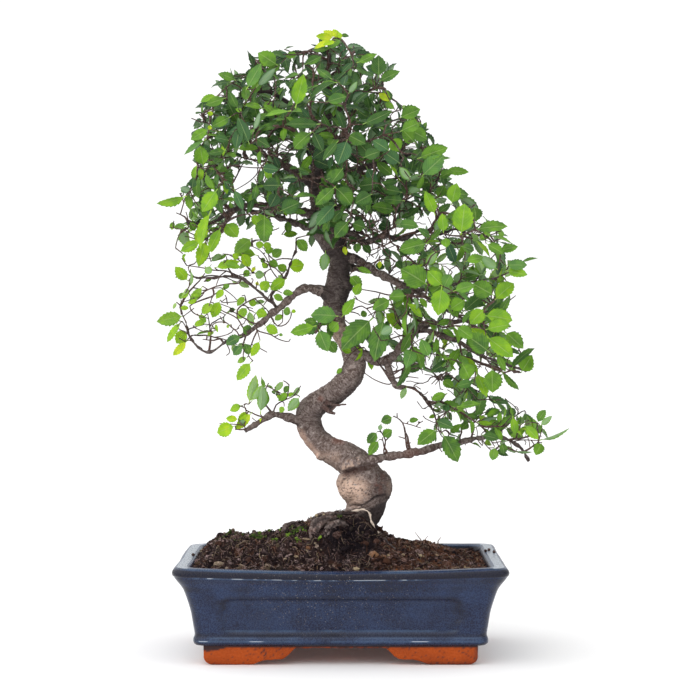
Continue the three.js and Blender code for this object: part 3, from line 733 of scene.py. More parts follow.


# Presses the panels in, makes the wall uneven and marks where the glaze is thin, pooled or worn, and where
# shade, highlights and a reflection are painted
def pressPanels(body):
    places = placesOf(body)
    x, y = (places[:, 0] - potMiddle.x) / mm, (places[:, 1] - potMiddle.y) / mm
    z = places[:, 2] / mm - pot["lift"]
    halfX, halfY = potSize.x / 2 / mm, potSize.y / 2 / mm
    inset = np.interp(z, [row[1] for row in pot["outer"]], [row[0] for row in pot["outer"]])
    onFront = (np.abs(np.abs(y) - (halfY - inset)) < 0.9) & (z < 57)
    onSide = (np.abs(np.abs(x) - (halfX - inset)) < 0.9) & (z < 57) & ~onFront
    outside = np.where(onFront, outsidePanel(x, z, pot["panelHalf"][0]), 99.0)
    outside = np.where(onSide, outsidePanel(y, z, pot["panelHalf"][1]), outside)
    press = pot["panelDepth"] * smooth(0.6, -1.0, outside) + 0.3 * smooth(1.3, 0.0, np.abs(outside + 1.2))
    places[:, 1] -= np.where(onFront, np.sign(y) * press * mm, 0)
    places[:, 0] -= np.where(onSide, np.sign(x) * press * mm, 0)
    outward = np.c_[places[:, :2] - [potMiddle.x, potMiddle.y], np.zeros(len(places))]
    outward /= np.maximum(np.linalg.norm(outward, axis=1), mm)[:, None]
    places += outward * (noiseAt(places, 20, 2) * glazing["wave"])[:, None]
    sag = (1 - np.minimum(np.abs(x + 4) / 92, 1) ** 2) * smooth(20, -60, y)
    places[:, 2] += (noiseAt(places, 14, 2) * 0.4 - 2.0 * sag) * mm * smooth(44, 57, z)
    movePlaces(body, places)
    patch = noiseAt(places * [1, 1, 1.6], 60, 3)
    # Near black on the lip's face is thin glaze; under the lip it is painted shade
    lip = nearTo(glazing["lip"], 2.5, 1.5, z) + 0.4 * nearTo(glazing["underLipShade"], 2.2, 0.9, z)
    band = 0.4 * nearTo(glazing["band"], 3.0, 0.6, z) * smooth(-0.35, 0.25, patch)
    # A brown line of thin glaze above the foot bead; under the bead, painted shade
    low = 0.5 * nearTo(glazing["footBand"], 1.7, 0.5, z) + 0.7 * smooth(*glazing["underBeadShade"], z)
    # Thin glaze along the panel's outline, stronger along its top edge, where it is painted shade
    groove = 0.62 * nearTo(0.5, 2.6, 0.2, outside) * (0.5 + 0.5 * smooth(30, 34, z))
    groove = groove + 0.1 * smooth(0, -2, outside)
    cornerness = smooth(6.0, 1.5, np.hypot(halfX - inset - np.abs(x), halfY - inset - np.abs(y)))
    thin = lip + band + low + groove + 0.5 * cornerness + 0.22 * smooth(0.1, 0.5, patch)
    drift = noiseAt(places, 45, 2)
    # Pale blue lines: painted highlights along the lip's top edge and on the foot bead, and pooled glaze with
    # a painted highlight along the panel's lower edge
    poolAndHighlight = 0.6 * nearTo(glazing["rimHighlight"], 0.9, 0.3, z)
    poolAndHighlight = poolAndHighlight + 0.75 * nearTo(glazing["panelPoolAndHighlight"], 1.0, 0.2, z) * smooth(1, -1, outside)
    poolAndHighlight = (poolAndHighlight + 0.5 * nearTo(glazing["beadHighlightLines"][0], 1.1, 0.2, z)) * smooth(-0.5, 0.2, drift)
    poolAndHighlight = poolAndHighlight + 0.5 * nearTo(glazing["beadHighlightLines"][1], 0.9, 0.2, z) * smooth(-0.4, 0.3, drift)
    # Painted highlights: a broken white line under the lip, and bright spots along the foot bead
    dashes = smooth(-0.4, 0.1, noiseAt(places * [1, 0.3, 0], 130, 2)) * nearTo(-19, 74, 62, x)
    beadHighlights = sum(strength * nearTo(place, reach, core, x) for place, reach, core, strength in glazing["beadHighlights"])
    paintedHighlight = 0.94 * nearTo(glazing["lipHighlight"], 0.75, 0.25, z) * dashes
    paintedHighlight = paintedHighlight + nearTo(glazing["footHighlight"], 0.8, 0.2, z) * np.minimum(beadHighlights, 1)
    # Painted reflection: the top of the rim turns near white towards its two ends
    rimEndReflection = 0.89 * smooth(*glazing["rimEndReflection"], np.abs(x)) * smooth(55.4, 56.6, z) * smooth(1.6, 2.6, inset)
    poolAndHighlight = np.maximum(np.maximum(np.clip(poolAndHighlight, 0, 0.76), paintedHighlight * (y < 0)), rimEndReflection)
    wornX, wornZ = glazing["wornAt"]
    worn = 0.7 * smooth(68, 15, np.hypot(x - wornX, (z - wornZ) * 2.0)) * (y < 0) + 0.06
    storeColour(body, "glazeAndLightMask", np.clip(np.c_[thin, poolAndHighlight, worn], 0, 1))


# A rounded slab, drilled for the two drain holes
def drilledSlab(name, inset, low, high):
    bpy.ops.mesh.primitive_plane_add(size=1, location=(potMiddle.x, potMiddle.y, low * mm))
    slab = bpy.context.object
    slab.scale = (potSize.x - 2 * inset * mm, potSize.y - 2 * inset * mm, 1)
    bpy.ops.object.transform_apply(scale=True)
    bpy.ops.object.mode_set(mode="EDIT")
    bpy.ops.mesh.bevel(offset=pot["corner"], segments=4, affect="VERTICES")
    bpy.ops.mesh.extrude_region_move(TRANSFORM_OT_translate={"value": (0, 0, (high - low) * mm)})
    bpy.ops.mesh.select_all(action="SELECT")
    bpy.ops.mesh.normals_make_consistent(inside=False)
    bpy.ops.object.mode_set(mode="OBJECT")
    for sign in (-1, 1):
        place = (potMiddle.x + sign * pot["drainOffset"], potMiddle.y, low * mm)
        bpy.ops.mesh.primitive_cylinder_add(vertices=32, radius=pot["drain"], depth=30 * mm, location=place)
        drill = bpy.context.object
        cut = slab.modifiers.new("drain", "BOOLEAN")
        cut.object = drill
        cut.operation = "DIFFERENCE"
        applyModifiers(slab)
        bpy.data.objects.remove(drill)
    return settle(slab, name)


potWall = drawPotWall()
pressPanels(potWall)
potFloor = drilledSlab("pot_floor", pot["slabInset"], pot["slabLow"], pot["slabHigh"])
storeColour(potFloor, "glazeAndLightMask", np.tile([0.3, 0.0, 0.1], (len(potFloor.data.vertices), 1)))
potBody = joined([potWall, potFloor], "pot_body")
finish(potBody, "pot_glaze", "pot", materials=[glazeMaterial], angle=50)
print("pot body made")


# Feet: four corner feet of bare clay under a thin clay underside
foot = {
    "wall": 12,
    "insetX": 18.2,
    "insetY": 13.9,
    "length": 56,
    "sideLength": 32,
    "top": 12.7,
    "voxel": 0.9 * mm,
    "roughness": 0.25 * mm,
    "rounded": (6.4, 5.6),  # the outer bottom corners: how far in, and up to which height
    "underside": (13.8, 10.2, 13.0),  # inset, low and high
}
# Dark marks on the front feet, in picture pixels
footMarks = {
    "crack": 264,
    "crackDown": (646, 658),
    "hooks": ((250, 654), (273, 655)),
    "overhang": 650.4,
    "overhangEnd": (210, 228),
    "slant": (459, 651),
    "innerEdge": (255, 262),
    "rightEdge": (472, 477),
}


# Outline of one leg: flat where it stands, then a curved step up to the body
def footOutline(length):
    top = foot["top"]
    points = [(0, top), (0, 4.8), (0.6, 2.2), (1.9, 0.7), (4.2, 0), (length * 0.50, 0)]
    points += [(length * 0.54, 0.6), (length * 0.58, 1.8), (length * 0.63, 2.7), (length * 0.70, 3.1)]
    points += [(length * 0.84, 3.6), (length * 0.90, 5.6), (length * 0.95, 8.8), (length, top)]
    return points


def addFootLeg(length, place, turn):
    curve = bpy.data.curves.new("leg", "CURVE")
    curve.dimensions = "2D"
    curve.fill_mode = "BOTH"
    curve.extrude = foot["wall"] * mm / 2
    spline = curve.splines.new("POLY")
    points = footOutline(length)
    spline.points.add(len(points) - 1)
    for point, (along, height) in zip(spline.points, points):
        point.co = (along * mm, height * mm, 0, 1)
    spline.use_cyclic_u = True
    leg = bpy.data.objects.new("leg", curve)
    bpy.context.scene.collection.objects.link(leg)
    leg.rotation_euler = (math.pi / 2, 0, turn)
    leg.location = place
    pick(leg)
    bpy.ops.object.convert(target="MESH")
    leg = bpy.context.object
    bpy.ops.object.transform_apply(location=True, rotation=True, scale=True)
    return leg


def makeFeet():
    cornerX = potSize.x / 2 - foot["insetX"] * mm
    cornerY = potSize.y / 2 - foot["insetY"] * mm
    wall = foot["wall"] * mm
    legs = [
        addFootLeg(foot["length"], (-cornerX, -cornerY + wall / 2, 0), 0),
        addFootLeg(foot["sideLength"], (-cornerX + wall / 2, -cornerY, 0), math.pi / 2),
    ]
    corner = joined(legs, "corner")
    for axis in (0, 1):
        mirror = corner.modifiers.new("mirror", "MIRROR")
        mirror.use_axis = (axis == 0, axis == 1, False)
        mirror.use_mirror_merge = False
    applyModifiers(corner)
    corner.location = (potMiddle.x, potMiddle.y, 0)
    underside = drilledSlab("underside", *foot["underside"])
    feet = joined([corner, underside], "pot_feet")
    remesh = feet.modifiers.new("remesh", "REMESH")
    remesh.mode = "VOXEL"
    remesh.voxel_size = foot["voxel"]
    relax = feet.modifiers.new("relax", "SMOOTH")
    relax.iterations = 3
    applyModifiers(feet)
    places = placesOf(feet)
    places += normalsOf(feet) * (noiseAt(places, 260, 3) * foot["roughness"])[:, None]
    places[:, 2] = np.maximum(places[:, 2], 0)
    inward, upTo = foot["rounded"]
    low = np.clip(1 - places[:, 2] / mm / upTo, 0, 1)
    inset = inward * mm * (1 - np.sqrt(1 - low**2))
    for axis, limit in ((0, cornerX - inset), (1, cornerY - 0.5 * inset)):
        places[:, axis] = np.clip(places[:, axis] - potMiddle[axis], -limit, limit) + potMiddle[axis]
    movePlaces(feet, places)
    across, down = pixelOf(places.T)
    front = places[:, 1] < potMiddle.y - 50 * mm
    wander = noiseAt(places, 500, 2)
    top, bottom = footMarks["crackDown"]
    crack = smooth(1.5, 0.3, np.abs(across - footMarks["crack"] - wander * 3))
    crack = crack * smooth(0, 1.5, bottom - down) * smooth(2, 4, down - top)
    left, right = footMarks["hooks"]
    hook = smooth(1.2, 0.3, np.hypot(across - left[0], (down - left[1]) * 0.8))
    hook = hook + smooth(1.4, 0.4, np.hypot(across - right[0], down - right[1]))
    below = down - footMarks["overhang"] + wander * 1.2
    overhang = smooth(1.4, 0.2, below + smooth(*footMarks["overhangEnd"], across) * 3.5)
    slantX, slantY = footMarks["slant"]
    slant = smooth(0.9, 0.2, np.abs(down - slantY - (across - slantX) * 0.5 - wander))
    slant = slant * smooth(slantX - 2, slantX, across)
    spots = smooth(0.42, 0.6, noiseAt(places, 700, 1)) * 0.7
    edge = 0.4 * smooth(3, 0.6, places[:, 2] / mm) * smooth(*footMarks["innerEdge"], across)
    edge = edge + 0.5 * smooth(*footMarks["rightEdge"], across)
    tone = np.clip((crack + hook + overhang + 0.7 * slant + edge) * front + spots, 0, 1)
    storeColour(feet, "claySmear", np.c_[tone, tone, tone])
    return finish(feet, "bare_clay", "pot", materials=[clayMaterial])


makeFeet()
for name in ("drain_screen_left", "drain_screen_right"):
    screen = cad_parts[name]
    screen.data.materials.clear()
    screen.data.materials.append(screenMaterial)
print("feet and screens made")


# Soil: a heap, higher on the left and against the trunk, with clods, crumbs, fibres, moss and stones
soil = {
    "edge": 56.8,
    "half": (89.8, 64.6),
    "columns": 190,
    "rows": 138,
    "bottom": 40,
    "ridge": [
        (-90, 57), (-84, 63.4), (-77, 68.9), (-69, 70.2), (-61, 70.4), (-48, 71.6), (-38, 72.9),
        (-34, 75.4), (-27, 77.6),
        (-20, 78.2), (-16, 81.4), (-9, 83.8), (10, 84), (20, 79.2), (27, 71.7), (34, 67.2), (52, 65.6),
        (63, 62.8),
        (70, 60.4), (77, 57), (90, 55.2),
    ],
    # The cave under the trunk is darkened with painted shade on the soil, crumbs and fibres
    "hollow": (351, 536),  # the dark cave under the trunk, in the picture
    "crumbs": 8200,
    "clumps": 150,
    "fibres": 1700,
    # Fibres that stand up: the pixel where each bends, and its lean
    "standing": [(421, 540, -6), (424, 541, 4), (438, 541, 3), (430, 545, -4), (399, 541, 2)],
    "seed": 5,
}


# Height of the heap in mm, at a place measured in mm from the pot's middle
def soilHeight(x, y):
    ridge = np.interp(x, [place for place, _ in soil["ridge"]], [height for _, height in soil["ridge"]])
    towardsWall = smooth(14, potSize.y / 2 / mm - 10, np.abs(y))
    edge = soil["edge"] - 1.2 * smooth(30, 75, x) * smooth(-50, 10, y)
    return edge + (ridge - edge) * (1 - towardsWall)


def roughHeight(x, y):
    x, y = np.atleast_1d(np.asarray(x, float)), np.atleast_1d(np.asarray(y, float))
    inland = smooth(0, 8, soil["half"][0] - np.abs(x)) * smooth(0, 9, soil["half"][1] - np.abs(y))
    places = np.c_[x, y, np.zeros(len(x))]
    heaped = smooth(38, 8, x)
    clods = noiseAt(places, 0.07, 3) * (1.5 + 1.1 * heaped)
    lumps = (0.3 - np.abs(noiseAt(places + 40, 0.16, 2))) * (1.8 + 1.6 * heaped)
    crumbly = noiseAt(places, 0.45, 3) * 1.1
    top = smooth(20, 8, np.hypot(x - 2, y))  # quieter at the foot of the trunk
    return soilHeight(x, y) + (clods + lumps + crumbly) * inland * (1 - 0.6 * top) - 0.6


# The first place of the heap on the line of sight through a pixel
def soilAt(across, down):
    depths = np.arange(-soil["half"][1], soil["half"][1], 0.6)
    line = np.array([seen(across, down, depth) for depth in depths])
    x, y = (line[:, 0] - potMiddle.x) / mm, (line[:, 1] - potMiddle.y) / mm
    hit = np.nonzero(roughHeight(x, y) >= line[:, 2] / mm)[0]
    return line[hit[0]] if len(hit) else line[len(line) // 2]


# How far into the cave under the trunk a place lies, on the front side; it sets the painted shade there
def hollowAt(places):
    across, down = pixelOf(places.T)
    near = np.hypot((across - soil["hollow"][0]) * 0.75, (down - soil["hollow"][1]) * 1.1)
    return smooth(34, 12, near) * (places[:, 1] < potMiddle.y)


# How light the soil is at some places: clods in the light between dark hollows
def clodLight(places):
    broad, fine = noiseAt(places, 130, 2), noiseAt(places + 0.5, 330, 2)
    return 0.12 + 0.6 * smooth(-0.3, 0.3, broad) + 0.75 * smooth(-0.25, 0.35, fine)


def makeSoil():
    bpy.ops.mesh.primitive_grid_add(x_subdivisions=soil["columns"], y_subdivisions=soil["rows"], size=2)
    heap = bpy.context.object
    places = placesOf(heap)
    x, y = places[:, 0] * soil["half"][0], places[:, 1] * soil["half"][1]
    movePlaces(heap, np.c_[x, y, roughHeight(x, y)] * mm)
    bpy.ops.object.mode_set(mode="EDIT")
    bpy.ops.mesh.select_all(action="DESELECT")
    bpy.ops.mesh.select_non_manifold(extend=False)
    bpy.ops.mesh.extrude_region_move(TRANSFORM_OT_translate={"value": (0, 0, -0.01)})
    bpy.ops.transform.resize(value=(0.97, 0.96, 0))
    bpy.ops.mesh.edge_face_add()
    bpy.ops.mesh.select_all(action="SELECT")
    bpy.ops.mesh.normals_make_consistent(inside=False)
    bpy.ops.object.mode_set(mode="OBJECT")
    heap.location = (potMiddle.x, potMiddle.y, 0)
    heap = settle(heap, "soil_heap")
    places = placesOf(heap)
    low = places[:, 2] < 50 * mm
    places[low, 2] = soil["bottom"] * mm
    normals = normalsOf(heap)
    rough = noiseAt(places, 480, 2) * 1.2 * mm * ~low
    places += normals * rough[:, None]
    movePlaces(heap, places)
    x = (places[:, 0] - potMiddle.x) / mm
    hollow = hollowAt(places)
    raised = smooth(-0.3, 0.6, rough / (1.2 * mm))
    # Painted light and shade: lit clods between dark hollows, and painted shade in the cave under the trunk
    drynessAndLight = (0.03 + 0.05 * smooth(5, 40, x) + 0.4 * raised**2) * clodLight(places) * (1 - 0.85 * hollow)
    redPatches = 0.25 * smooth(0.1, 0.6, noiseAt(places, 160, 2))
    redness = (0.05 + 0.3 * smooth(15, 50, x) + redPatches) * (1 - hollow)
    storeColour(heap, "earthTone", np.clip(np.c_[drynessAndLight, redness, np.zeros(len(x))], 0, 1))
    return finish(heap, "soil", "soil", materials=[earthMaterial])


# Lumps modelled once each, then copied
def lumpShapes(count, roundness, offset, seed):
    shapes = []
    for i in range(count):
        bpy.ops.mesh.primitive_ico_sphere_add(subdivisions=roundness, radius=1)
        lump = bpy.context.object
        bpy.ops.object.mode_set(mode="EDIT")
        bpy.ops.transform.vertex_random(offset=offset, seed=seed + i)
        bpy.ops.object.mode_set(mode="OBJECT")
        shapes.append((placesOf(lump), [tuple(face.vertices) for face in lump.data.polygons]))
        bpy.data.objects.remove(lump)
    return shapes


# Copies of shapes at their places, in one mesh: each row is shape, 3x3 matrix, place and tone
def copiesOf(name, shapes, rows, toneName):
    places, faces, tones, start = [], [], [], 0
    for shape, matrix, place, tone in rows:
        points, corners = shapes[shape]
        places.append(points @ np.asarray(matrix).T + place)
        faces += [tuple(start + corner for corner in face) for face in corners]
        tones += [tone] * len(points)
        start += len(points)
    obj = meshOf(name, np.concatenate(places), faces)
    storeColour(obj, toneName, np.array(tones))
    return obj


def turnedAnyWay(rng):
    return np.array(Matrix.Rotation(rng.uniform(0, 6.28), 3, Vector([rng.gauss(0, 1) for _ in range(3)])))


def onSoil(x, y, lift=0.0):
    return np.array([potMiddle.x + x * mm, potMiddle.y + y * mm, (roughHeight(x, y)[0] + lift) * mm])


# Bits that stand out in the picture: place, width and height in mm, dryness, redness and paleness
soilBits = [
    ((297, 557), (2.2, 1.1), (0.6, 0.3, 0.75)),
    ((305, 539), (3.6, 0.9), (0.6, 0.4, 0.5)),
    ((219, 564), (4.0, 2.0), (0.8, 0.0, 0.42)),
    ((240, 566), (3.4, 1.6), (0.8, 0.0, 0.42)),
    ((270, 566), (3.8, 0.8), (0.9, 0.1, 0.3)),
    ((308, 548), (1.9, 1.5), (0.5, 1.0, 0.1)),
    ((374, 555), (3.6, 3.0), (0.9, 1.0, 0.15)),
    ((383, 557), (2.2, 1.8), (0.8, 0.8, 0.1)),
    ((389, 556), (1.8, 1.5), (0.8, 0.6, 0.5)),
    ((403, 555), (1.6, 1.2), (0.8, 0.6, 0.55)),
    ((420, 556), (1.7, 1.4), (0.8, 0.3, 0.9)),
    ((356, 569), (2.8, 1.5), (0.8, 0.6, 0.8)),
    ((437, 556), (2.2, 1.6), (0.8, 0.8, 0.4)),
    ((455, 563), (1.5, 1.2), (0.8, 0.6, 0.7)),
    ((390, 567), (1.3, 1.1), (0.8, 0.6, 0.6)),
    ((428, 543), (2.4, 2.0), (0.8, 1.0, 0.3)),
    ((263, 556), (0.9, 0.9), (0.8, 0.0, 0.5)),
    ((285, 559), (1.2, 0.9), (0.8, 0.3, 0.5)),
    ((290, 526), (0.8, 0.7), (0.8, 0.0, 0.8)),
]
# The same, on the rough roots: their depth is given too
rootBits = [
    ((311, 517.5, -13), 0.8),
    ((316.6, 515.6, -15.5), 1.2),
    ((324, 515, -15.5), 1.0),
    ((309, 524, -16), 0.5),
]

# A few crumbs lie on the rim
rimCrumbs = [(193, 556), (197, 558), (486, 552), (489, 551), (494, 553)]


# Just off the pot, where the line of sight through a pixel meets it
def onPot(across, down):
    near, far = (Vector(seen(across, down, depth)) for depth in (-120, 120))
    _, place, normal, _ = potBody.ray_cast(near, far - near)
    return np.array(place + normal * 0.8 * mm)


def makeCrumbs():
    rng = random.Random(soil["seed"])
    shapes = lumpShapes(5, 1, 0.28, 3)
    rows = []
    for _ in range(soil["crumbs"]):
        x = rng.uniform(-1, 1) * (soil["half"][0] - 1)
        y = rng.uniform(-1, 1) * (soil["half"][1] - 1)
        loose = smooth(10, 35, x)
        size = rng.uniform(0.3, 0.85) + (rng.random() ** 6) * 1.5
        flat = rng.random() < 0.3 + 0.25 * loose
        thickness = (0.45, 0.3) if flat else (rng.uniform(0.6, 1), rng.uniform(0.5, 0.9))
        stretch = np.diag([size * (1.6 if flat else 1), size * thickness[0], size * thickness[1]]) * mm
        redness = 0.6 * loose * rng.random() + 0.16 * rng.random()
        pale = rng.uniform(0.2, 0.8) if rng.random() < 0.03 else 0
        spot = onSoil(x, y, size * 0.25)
        # Painted light and shade on each crumb: lit clods, dark hollows and the cave under the trunk
        light = (1 - 0.8 * hollowAt(spot[None])[0]) * clodLight(spot[None])[0]
        film = 0.2 * smooth(-18, -50, x) * smooth(0.0, 0.5, noiseAt(spot[None], 160, 2)[0])
        pale = max(pale, film)
        tone = (rng.random() ** 3.6 * (1.75 - 0.75 * loose) * light, redness * light, pale * light)
        rows.append((rng.randrange(len(shapes)), turnedAnyWay(rng) @ stretch, spot, tone))
    for place, (width, height), tone in soilBits:
        stretch = np.diag([width, min(width, height), height]) * mm
        lean = np.array(Matrix.Rotation(rng.uniform(-0.4, 0.4), 3, "Y"))
        spot = soilAt(*place) + np.array([0, -0.5, 0]) * mm
        rows.append((rng.randrange(len(shapes)), lean @ stretch, spot, tone))
    for place, size in rootBits:
        rows.append((0, turnedAnyWay(rng) * size * mm, seen(*place), (0.8, 0.0, 0.9)))
    for pixel in rimCrumbs:
        rows.append((1, turnedAnyWay(rng) * 1.2 * mm, onPot(*pixel), (0.3, 0.1, 0)))
    crumbs = copiesOf("soil_crumbs", shapes, rows, "earthTone")
    return finish(crumbs, "soil", materials=[earthMaterial], angle=30)


def makeClumps():
    rng = random.Random(soil["seed"] + 1)
    shapes = lumpShapes(5, 2, 0.2, 11)
    rows = []
    for _ in range(soil["clumps"]):
        x = rng.uniform(-84, 50) if rng.random() < 0.85 else rng.uniform(50, 84)
        y = rng.uniform(-60, 60)
        size = rng.uniform(1.4, 3.4) * (1 if abs(y) < 50 else 0.7)
        stretch = np.diag([size, size * rng.uniform(0.7, 1), size * rng.uniform(0.6, 0.9)]) * mm
        tone = (0.6 * rng.random() ** 2, rng.uniform(0, 0.35), 0)
        shape, turned = rng.randrange(len(shapes)), turnedAnyWay(rng) @ stretch
        rows.append((shape, turned, onSoil(x, y, -size * 0.15), tone))
    clumps = copiesOf("soil_clumps", shapes, rows, "earthTone")
    places = placesOf(clumps)
    movePlaces(clumps, places + normalsOf(clumps) * (noiseAt(places, 700, 2) * 0.5 * mm)[:, None])
    return finish(clumps, "soil", materials=[earthMaterial], angle=60)


# Fibres and fine roots: short bent threads lying on the soil, a few sticking up on the right
def makeFibres():
    rng = random.Random(soil["seed"] + 2)
    threads, tones = [], []
    for i in range(soil["fibres"]):
        x, y = rng.uniform(-86, 86), rng.uniform(-62, 62)
        heading = rng.uniform(0, 6.28)
        length = rng.uniform(3, 11)
        lift = rng.uniform(0.2, 0.8)
        path = []
        for step in range(6):
            height = lift + (rng.uniform(0, 0.8) if 0 < step < 5 else -0.6)
            path.append(onSoil(np.clip(x, -87, 87), np.clip(y, -63, 63), height))
            heading += rng.uniform(-0.7, 0.7)
            x += math.cos(heading) * length / 5
            y += math.sin(heading) * length / 5
        threads.append((np.array(path), np.linspace(rng.uniform(0.16, 0.42), 0.12, 6) * mm))
        pale = rng.uniform(0.1, 0.45) if rng.random() < 0.35 else 0
        # Painted light and shade on each fibre
        light = (1 - 0.6 * hollowAt(path[0][None])[0]) * clodLight(path[0][None])[0]
        tones.append((rng.random() ** 1.5 * light, rng.uniform(0, 0.5) * light, pale * light))
    for across, down, lean in soil["standing"]:
        start = soilAt(across, down + 5)
        bits = [start, seen(across, down, (start[1] - potMiddle.y) / mm)]
        bits.append(seen(across + lean, down - abs(lean) * 1.3, (start[1] - potMiddle.y) / mm + 1))
        threads.append((np.array(bits), np.array([0.45, 0.35, 0.15]) * mm))
        tones.append((0.9, 0.6, 0.15))
    fibres = limbsObject("soil_fibres", threads, 0, caps=False)
    ring = len(fibres.data.vertices) // sum(len(path) for path, _ in threads)
    storeColour(fibres, "earthTone", np.repeat(tones, [ring * len(path) for path, _ in threads], axis=0))
    return finish(settle(fibres, "soil_fibres"), "soil", materials=[earthMaterial])


# What is left of an older root ball: rough roots bent over in front of the trunk
rootBall = {
    "arches": [
        ([(314, 545, -30), (314.5, 532, -28), (318, 523, -26), (327, 519, -24), (336, 520, -22)],
         [2.4, 3.0, 3.2, 2.8, 1.6]),
        ([(327, 549, -32), (327, 536, -31), (332, 526, -28), (340, 523, -25), (348, 528, -21)],
         [1.8, 2.6, 2.8, 2.4, 1.4]),
        ([(326, 547, -29), (328, 535, -27), (334, 528, -24), (343, 526, -20), (348, 534, -19)],
         [1.2, 1.8, 2.0, 1.8, 1.0]),
        ([(308, 521, -12), (320, 516, -12), (334, 514.5, -11), (347, 513, -10), (358, 511, -9)],
         [1.0, 1.4, 1.5, 1.4, 1.0]),
        ([(283, 532, -14), (286, 525, -12), (293, 523, -11), (300, 525.5, -12), (304, 533, -14)],
         [0.8, 1.1, 1.2, 1.0, 0.7]),
        ([(376, 534, -14), (383, 540, -20), (392, 548, -26), (398, 556, -30)], [2.2, 1.8, 1.2, 0.7]),
    ],
}


def makeRootBall():
    limbs = [limbFrom(*arch, 0.6 * mm) for arch in rootBall["arches"]]
    roots = limbsObject("root_ball", limbs, 11)
    laidOut = storeBarkPlace(roots, limbs)
    places = placesOf(roots)
    strands = noiseAt(laidOut * [1, 1, 0.22], 900, 3)
    rough = noiseAt(places, 170, 3) * 1.2 + strands * 0.8
    movePlaces(roots, places + normalsOf(roots) * (rough * mm)[:, None])
    red = smooth(-0.2, 0.5, noiseAt(places, 90, 2)) * 0.35
    across, _ = pixelOf(places.T)
    # Painted shade in the sunken parts of the roots; darker towards the right
    dark = 0.2 + 0.5 * smooth(0.3, -0.4, rough) + 0.35 * smooth(0.2, -0.3, strands)
    dark = dark + 0.4 * smooth(330, 346, across)
    storeColour(roots, "barkTone", np.clip(np.c_[0 * red, red, dark], 0, 1))
    return finish(settle(roots, "root_ball"), "soil", materials=[barkMaterial])


# Moss: tufts of tiny round leaves
moss = {
    "tufts": [  # place, radius in mm, leaves, tone
        ((254, 537), 3.0, 46, 0.45), ((261, 539), 2.6, 40, 0.5), ((258, 534), 2.0, 24, 0.6),
        ((274, 542), 2.2, 34, 0.75),
        ((284, 533), 1.8, 26, 0.8), ((289, 536), 2.6, 40, 0.6), ((296, 535), 2.4, 34, 0.5),
        ((298, 542), 1.7, 26, 0.95),
        ((270, 532), 2.0, 18, 0.75), ((244, 537), 2.0, 22, 0.4), ((235, 541), 2.2, 16, 0.35),
        ((310, 524), 0.9, 8, 0.9),
        ((305, 533), 1.3, 12, 0.7), ((319, 541), 1.0, 9, 0.7), ((228, 534), 2.2, 12, 0.3),
        ((251, 531.5), 1.6, 14, 0.5),
    ],
    "thickness": 1.7,
    "faint": 26,  # fainter tufts all over the back and the top of the heap
    "seed": 9,
}


def makeMossTufts():
    rng = random.Random(moss["seed"])
    shapes = lumpShapes(3, 1, 0.15, 21)
    rows = []
    spots = [(soilAt(*place), radius, count, tone) for place, radius, count, tone in moss["tufts"]]
    for _ in range(moss["faint"]):
        spot = onSoil(rng.uniform(-78, 10), rng.uniform(-20, 55))
        spots.append((spot, rng.uniform(1.5, 3.5), rng.randrange(8, 22), rng.uniform(0.2, 0.6)))
    for spot, radius, count, tone in spots:
        for _ in range(int(count * moss["thickness"])):
            x = (spot[0] - potMiddle.x) / mm + rng.gauss(0, 0.5) * radius
            y = (spot[1] - potMiddle.y) / mm + rng.gauss(0, 0.5) * radius
            size = rng.uniform(0.4, 0.95)
            matrix = turnedAnyWay(rng) @ np.diag([size, size * 0.8, size * 0.4]) * mm
            shade = float(np.clip(tone + rng.uniform(-0.45, 0.35), 0, 1))
            shape = rng.randrange(3)
            spotHere = onSoil(np.clip(x, -86, 86), np.clip(y, -62, 62), rng.uniform(0.3, 1.3))
            rows.append((shape, matrix, spotHere, (shade, shade, shade)))
    tufts = copiesOf("moss_tufts", shapes, rows, "mossTone")
    return finish(tufts, "moss", materials=[mossMaterial], angle=40)


# Wood. Round limbs along their routes, as one mesh: each limb is its places and radii.
def limbsObject(name, limbs, resolution, caps=True):
    curve = bpy.data.curves.new(name, "CURVE")
    curve.dimensions = "3D"
    curve.bevel_depth = 1.0
    curve.bevel_resolution = resolution
    curve.use_fill_caps = caps
    for places, radii in limbs:
        spline = curve.splines.new("POLY")
        spline.points.add(len(places) - 1)
        spline.points.foreach_set("co", np.c_[places, np.ones(len(places))].ravel())
        spline.points.foreach_set("radius", np.asarray(radii, float))
        spline.use_smooth = True
    obj = bpy.data.objects.new(name, curve)
    bpy.context.scene.collection.objects.link(obj)
    pick(obj)
    bpy.ops.object.convert(target="MESH")
    return bpy.context.object


# Lays the wood out straight for its material: across the limb in x and y, along it in z
def storeBarkPlace(obj, limbs):
    places = placesOf(obj)
    best = np.full(len(places), 1e9)
    laidOut = np.zeros((len(places), 3))
    offset = 0.0
    for route, _ in limbs:
        tangents = np.gradient(route, axis=0)
        tangents /= np.linalg.norm(tangents, axis=1)[:, None]
        along = np.r_[0, np.cumsum(np.linalg.norm(np.diff(route, axis=0), axis=1))] + offset
        for start in range(0, len(places), 4000):
            some = places[start:start + 4000]
            apart = np.linalg.norm(some[:, None] - route[None], axis=2)
            nearest = apart.argmin(axis=1)
            distance = apart[np.arange(len(some)), nearest]
            tangent = tangents[nearest]
            away = some - route[nearest]
            extra = (away * tangent).sum(axis=1)
            side = np.cross(tangent, [0, 1, 0])
            side /= np.maximum(np.linalg.norm(side, axis=1), 1e-9)[:, None]
            other = np.cross(side, tangent)
            found = np.c_[(away * side).sum(axis=1), (away * other).sum(axis=1), along[nearest] + extra]
            better = distance < best[start:start + 4000]
            laidOut[start:start + 4000][better] = found[better]
            best[start:start + 4000] = np.minimum(best[start:start + 4000], distance)
        offset = along[-1] + 0.05
    storeVector(obj, "barkPlace", laidOut)
    return laidOut


